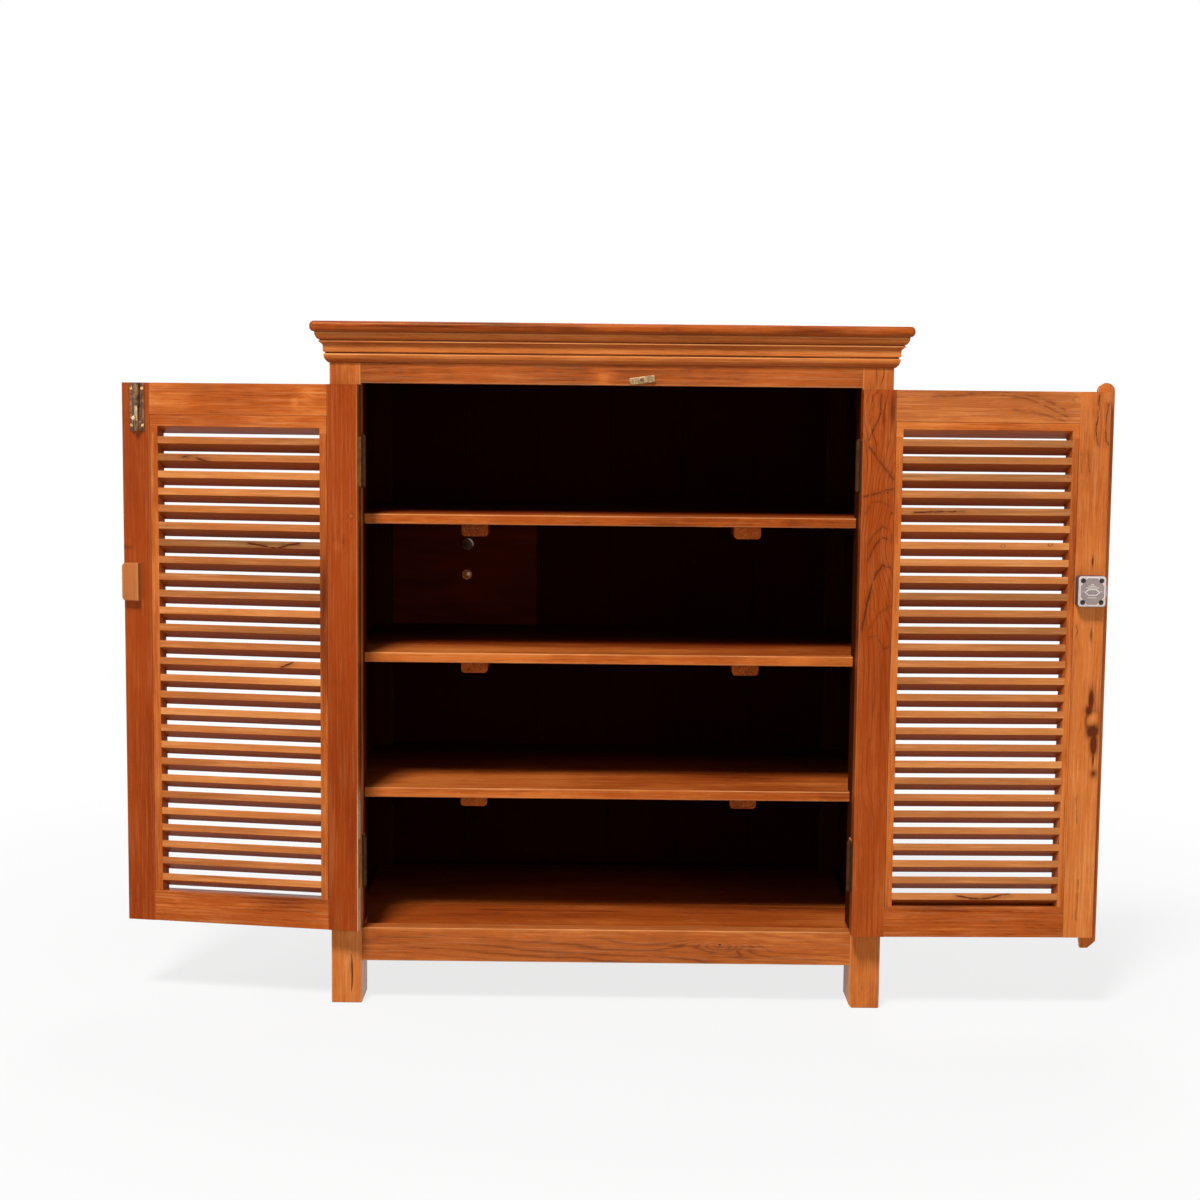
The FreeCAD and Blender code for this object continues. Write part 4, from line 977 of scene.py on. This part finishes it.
def makeLockCase(s):
    side, u, z, face = "right", s["u"], s["z"], s["face"]
    half, tall = s["width"] / 2, s["height"] / 2
    case = doorBlock(side, (u - half, s["back"], z - tall), (u + half, face, z + tall))
    roundEdges(case, s["cornerRadius"], 6, runsAlong(1))
    roundEdges(case, s["rim"], 3, liesAt(1, frontY + face / 1000))
    joinTo(case, plateFor(s, s["plate"], 8))
    joinTo(case, plateFor(s, s["badge"], 6))
    sunk = face - 0.9
    wings = s["wings"]
    for hand in (-1, 1):
        for up in wings["heights"]:
            joinTo(case, doorBlock(side, (u + hand * wings["from"], sunk, z + up),
                                   (u + hand * wings["to"], wings["top"], z + up + wings["tall"])))
    # plain bars stand where a maker's lettering would be
    for reach, up, high in s["bars"]:
        joinTo(case, doorBlock(side, (u - reach, sunk, z + up), (u + reach, s["barTop"], z + up + high)))
    foot = s["barrelFoot"]
    joinTo(case, doorRod(side, (s["barrelU"], foot, z), s["barrelLength"], s["barrelRadius"]))
    boreLength, boreGap = 27.3, 0.06
    cutFrom(case, doorRod(side, (s["barrelU"], foot - 1.2, z), boreLength, s["plugRadius"] + boreGap))
    cutFrom(case, doorBlock(side, *s["boltSlot"]))
    wellU, wellZ = s["wells"]
    for du in (-wellU, wellU):
        for dz in (-wellZ, wellZ):
            cutFrom(case, doorRod(side, (u + du, s["wellFloor"], z + dz), 5.0, s["wellRadius"]))
            cutFrom(case, doorRod(side, (u + du, s["back"] - 1.0, z + dz), 20.0, s["screwRadius"], 20))
    return case


placed(makeLockCase(lockCase), "lockCase", "right", "right_door", "lock_case",
       "lockPlate")
print("lock case made")


towerBolt = {
    "u": 301.9, "low": 769.0, "high": 832.6, "width": 20.2, "face": 18.0, "plate": 1.2, "corner": 1.5,
    "rim": 0.3, "rodV": 22.1, "rodRadius": 2.5, "rodLength": 60.5, "guideRadius": 4.1, "guideRim": 0.4,
    "upper": (803.0, 832.6), "lower": (769.0, 783.0),
    "ribs": (-6.6, 5.2), "ribWidth": 1.4, "ribV": 20.6, "ribLow": 787.0, "ribRim": 0.5,
    "lobeU": 4.7, "lobeRadius": 3.225, "lobeRim": 0.6, "grooveU": 2.5, "grooveWidth": 0.95,
    "knobZ": 786.0, "knobRadius": 3.0, "knobTall": 4.6, "knobRim": 1.3, "stemRadius": 1.6, "knobV": 28.2,
    "screws": ((-7.4, 7.4), (776.7, 825.2)), "screwRadius": 1.15, "seatRadius": 2.5,
}


def makeTowerBolt(s):
    side, u, face = "left", s["u"], s["face"]
    half, guide = s["width"] / 2, s["guideRadius"]
    outside = face + s["plate"]
    body = doorBlock(side, (u - half, face, s["low"]), (u + half, outside, s["high"]))
    roundEdges(body, s["corner"], 4, runsAlong(1))
    roundEdges(body, s["rim"], 2, liesAt(1, frontY + outside / 1000))
    for low, high in (s["upper"], s["lower"]):
        tube = doorRod(side, (u, s["rodV"], low), high - low, guide, 48, upwards)
        roundEdges(tube, s["guideRim"], 2, runsRound(2))
        joinTo(body, tube)
        joinTo(body, doorBlock(side, (u - guide, face + 0.6, low + 0.01),
                               (u + guide, s["rodV"], high - 0.01)))
    # two raised ribs beside the rod, and the lobes of the lower guide
    for du in s["ribs"]:
        rib = doorBlock(side, (u + du, face + 0.5, s["ribLow"]),
                        (u + du + s["ribWidth"], s["ribV"], s["high"] - 0.6))
        roundEdges(rib, s["ribRim"], 3, runsAlong(2))
        joinTo(body, rib)
    low, high = s["lower"]
    for hand in (-1, 1):
        lobe = doorRod(side, (u + hand * s["lobeU"], outside - 0.3, low + 0.4), high - low - 0.8,
                       s["lobeRadius"], 32, upwards)
        roundEdges(lobe, s["lobeRim"], 3, runsRound(2))
        joinTo(body, lobe)
    start = u + s["grooveU"]
    cutFrom(body, doorBlock(side, (start, outside + 1.2, low - 1),
                            (start + s["grooveWidth"], 40.0, high + 1)))
    # nothing of it sinks into the door
    cutFrom(body, doorBlock(side, (u - 30, -5.0, low - 5), (u + 30, face, 840.0)))
    cutFrom(body, doorRod(side, (u, s["rodV"], low - 1), 70.0, s["rodRadius"] + 0.07, 40, upwards))
    for du in s["screws"][0]:
        for z in s["screws"][1]:
            cutFrom(body, doorRod(side, (u + du, 10.0, z), 12.2, s["screwRadius"], 20))
            cutFrom(body, doorRod(side, (u + du, outside, z), 8.0, s["seatRadius"], 24))
    return body


def makeTowerRod(s):
    side, u, rodV, knobV, z = "left", s["u"], s["rodV"], s["knobV"], s["knobZ"]
    foot = s["low"] + 0.5
    rod = doorRod(side, (u, rodV, foot), s["rodLength"], s["rodRadius"], 48, upwards)
    roundEdges(rod, 0.8, 4, liesAt(2, (foot + s["rodLength"]) / 1000))
    joinTo(rod, doorRod(side, (u, rodV, z), 7.0, s["stemRadius"]))
    knob = doorRod(side, (u, knobV, z), s["knobTall"], s["knobRadius"])
    roundEdges(knob, s["knobRim"], 5, runsRound(1))
    insetFaces(knob, 0.5, 0.2, onTop(frontY + (knobV + s["knobTall"]) / 1000))
    joinTo(rod, knob)
    return rod


placed(makeTowerBolt(towerBolt), "towerBoltPlate", "left", "left_door", "tower_bolt_plate",
       "antiqueBrass")
placed(makeTowerRod(towerBolt), "towerBoltRod", "left", "tower_bolt_rod", "tower_bolt_rod",
       "rodBrass")
print("tower bolt made")


# seen from the front: along, up, and out of the rail
turnButton = {
    "x": 40.0, "z": 842.5, "tilt": 8.0, "half": 16.75, "tall": 4.6, "back": 1.0, "front": 3.6,
    "corner": 1.6, "rim": 0.5,
    # the boss, the two lobes of the left end, and the lug of the right end, each with its rounding
    "raised": ((-5.0, 9.0, -3.9, 3.9, 5.2, 0.7, 3), (-15.75, -12.95, -3.9, 3.9, 4.8, 0.6, 3),
               (-12.05, -9.25, -3.9, 3.9, 4.8, 0.6, 3), (12.25, 15.75, -3.6, 1.0, 4.4, 0.3, 2)),
    "hole": 1.55, "recess": 3.0,
}


def makeTurnButton(s):
    def block(x0, x1, z0, z1, low, high):
        return startBlock((x0 / 1000, -high / 1000, z0 / 1000), (x1 / 1000, -low / 1000, z1 / 1000))

    half, tall, front = s["half"], s["tall"], s["front"]
    body = block(-half, half, -tall, tall, s["back"], front)
    roundEdges(body, s["corner"], 4, runsAlong(1))
    roundEdges(body, s["rim"], 3, liesAt(1, -front / 1000))
    for x0, x1, z0, z1, high, rim, steps in s["raised"]:
        part = block(x0, x1, z0, z1, front - 1.0, high)
        roundEdges(part, rim, steps, liesAt(1, -high / 1000))
        joinTo(body, part)
    cutFrom(body, startRod((0, 0.001, 0), (0, -1, 0), 10.0, s["hole"], 28))
    cutFrom(body, startRod((0, -0.0040, 0), (0, -1, 0), 4.0, s["recess"], 28))
    body.rotation_euler = (0, -radians(s["tilt"]), 0)
    body.location = (s["x"] / 1000, frontY, s["z"] / 1000)
    fixed(body)
    return body


placed(makeTurnButton(turnButton), "turnButton", None, "turn_button", "turn_button",
       "paleBrass")
print("turn button made")


plainLamp = {"aim": (0, -0.1, 0.45), "size": 1.2}
light = {
    "ambient": 0.14,
    "key": {"place": (-1.3, -3.7, 5.6), "watts": 500.0},
    "left": {"place": (-2.6, -3.2, 0.9), "watts": 14.0},
    "right": {"place": (2.6, -3.2, 0.9), "watts": 24.0},
    "back": {"place": (0.6, 2.6, 2.4), "aim": (0, 0.1, 0.6), "size": 1.6, "watts": 40.0},
}


def setLamp(name, own):
    s = {**plainLamp, **own}
    data = bpy.data.lights.new(name, "AREA")
    data.size = s["size"]
    data.energy = s["watts"]
    lamp = bpy.data.objects.new(name, data)
    bpy.context.scene.collection.objects.link(lamp)
    lamp.location = s["place"]
    lamp.rotation_euler = (Vector(s["aim"]) - Vector(s["place"])).to_track_quat("-Z", "Y").to_euler()


for name in ("key", "left", "right", "back"):
    setLamp(name, light[name])


def seenDirectly(tree):
    # 1 for what the camera sees, straight or in a reflection
    path = tree.nodes.new("ShaderNodeLightPath")
    seen = Value(path.outputs["Is Camera Ray"])
    return seen.most(Value(path.outputs["Is Glossy Ray"])).most(Value(path.outputs["Is Transmission Ray"]))


def setWorld(ambient):
    world = bpy.data.worlds.new("studio")
    bpy.context.scene.world = world
    world.use_nodes = True
    tree = world.node_tree
    tree.nodes.clear()
    strength = ambient + seenDirectly(tree) * (1.0 - ambient)
    back = tree.nodes.new("ShaderNodeBackground")
    back.inputs["Color"].default_value = (1, 1, 1, 1)
    tree.links.new(strength.socket, back.inputs["Strength"])
    output = tree.nodes.new("ShaderNodeOutputWorld")
    tree.links.new(back.outputs[0], output.inputs["Surface"])


floorLook = {
    "size": 14.0, "shadow": 0.20, "near": 0.7, "far": 1.6,
    "grey": ((0.62, 0.62, 0.62), (0.58, 0.58, 0.575)), "clouds": (3, 3, 3), "cloudy": 0.3,
}


def makeFloor(s):
    # pale floor that keeps the shadow near the cabinet and runs out into plain white
    only(None)
    bpy.ops.mesh.primitive_plane_add(size=s["size"], location=(0, 0, 0))
    floor = bpy.context.object
    floor.name = "studioFloor"
    f = Finish("studioFloor")
    point = objectPoint(f, None)
    x, y, z = f.split(point)
    cloud = f.noise(point, s["clouds"], 3.0)
    plain = f.node("ShaderNodeBsdfDiffuse", None, {"Color": f.mix(cloud * s["cloudy"], *s["grey"])})
    glow = f.node("ShaderNodeEmission", None, {"Color": (1, 1, 1, 1), "Strength": 1.0})
    radius = (x * x + y * y).root()
    fade = ((radius - s["near"]) / (s["far"] - s["near"])).clamped()
    white = 1.0 - s["shadow"] + fade * s["shadow"]
    f.output(f.node("ShaderNodeMixShader", None, {0: seenDirectly(f.tree) * white, 1: plain, 2: glow}))
    floor.data.materials.append(f.material)


setWorld(light["ambient"])
makeFloor(floorLook)
print("studio set")

bpy.context.scene.view_settings.view_transform = "Standard"
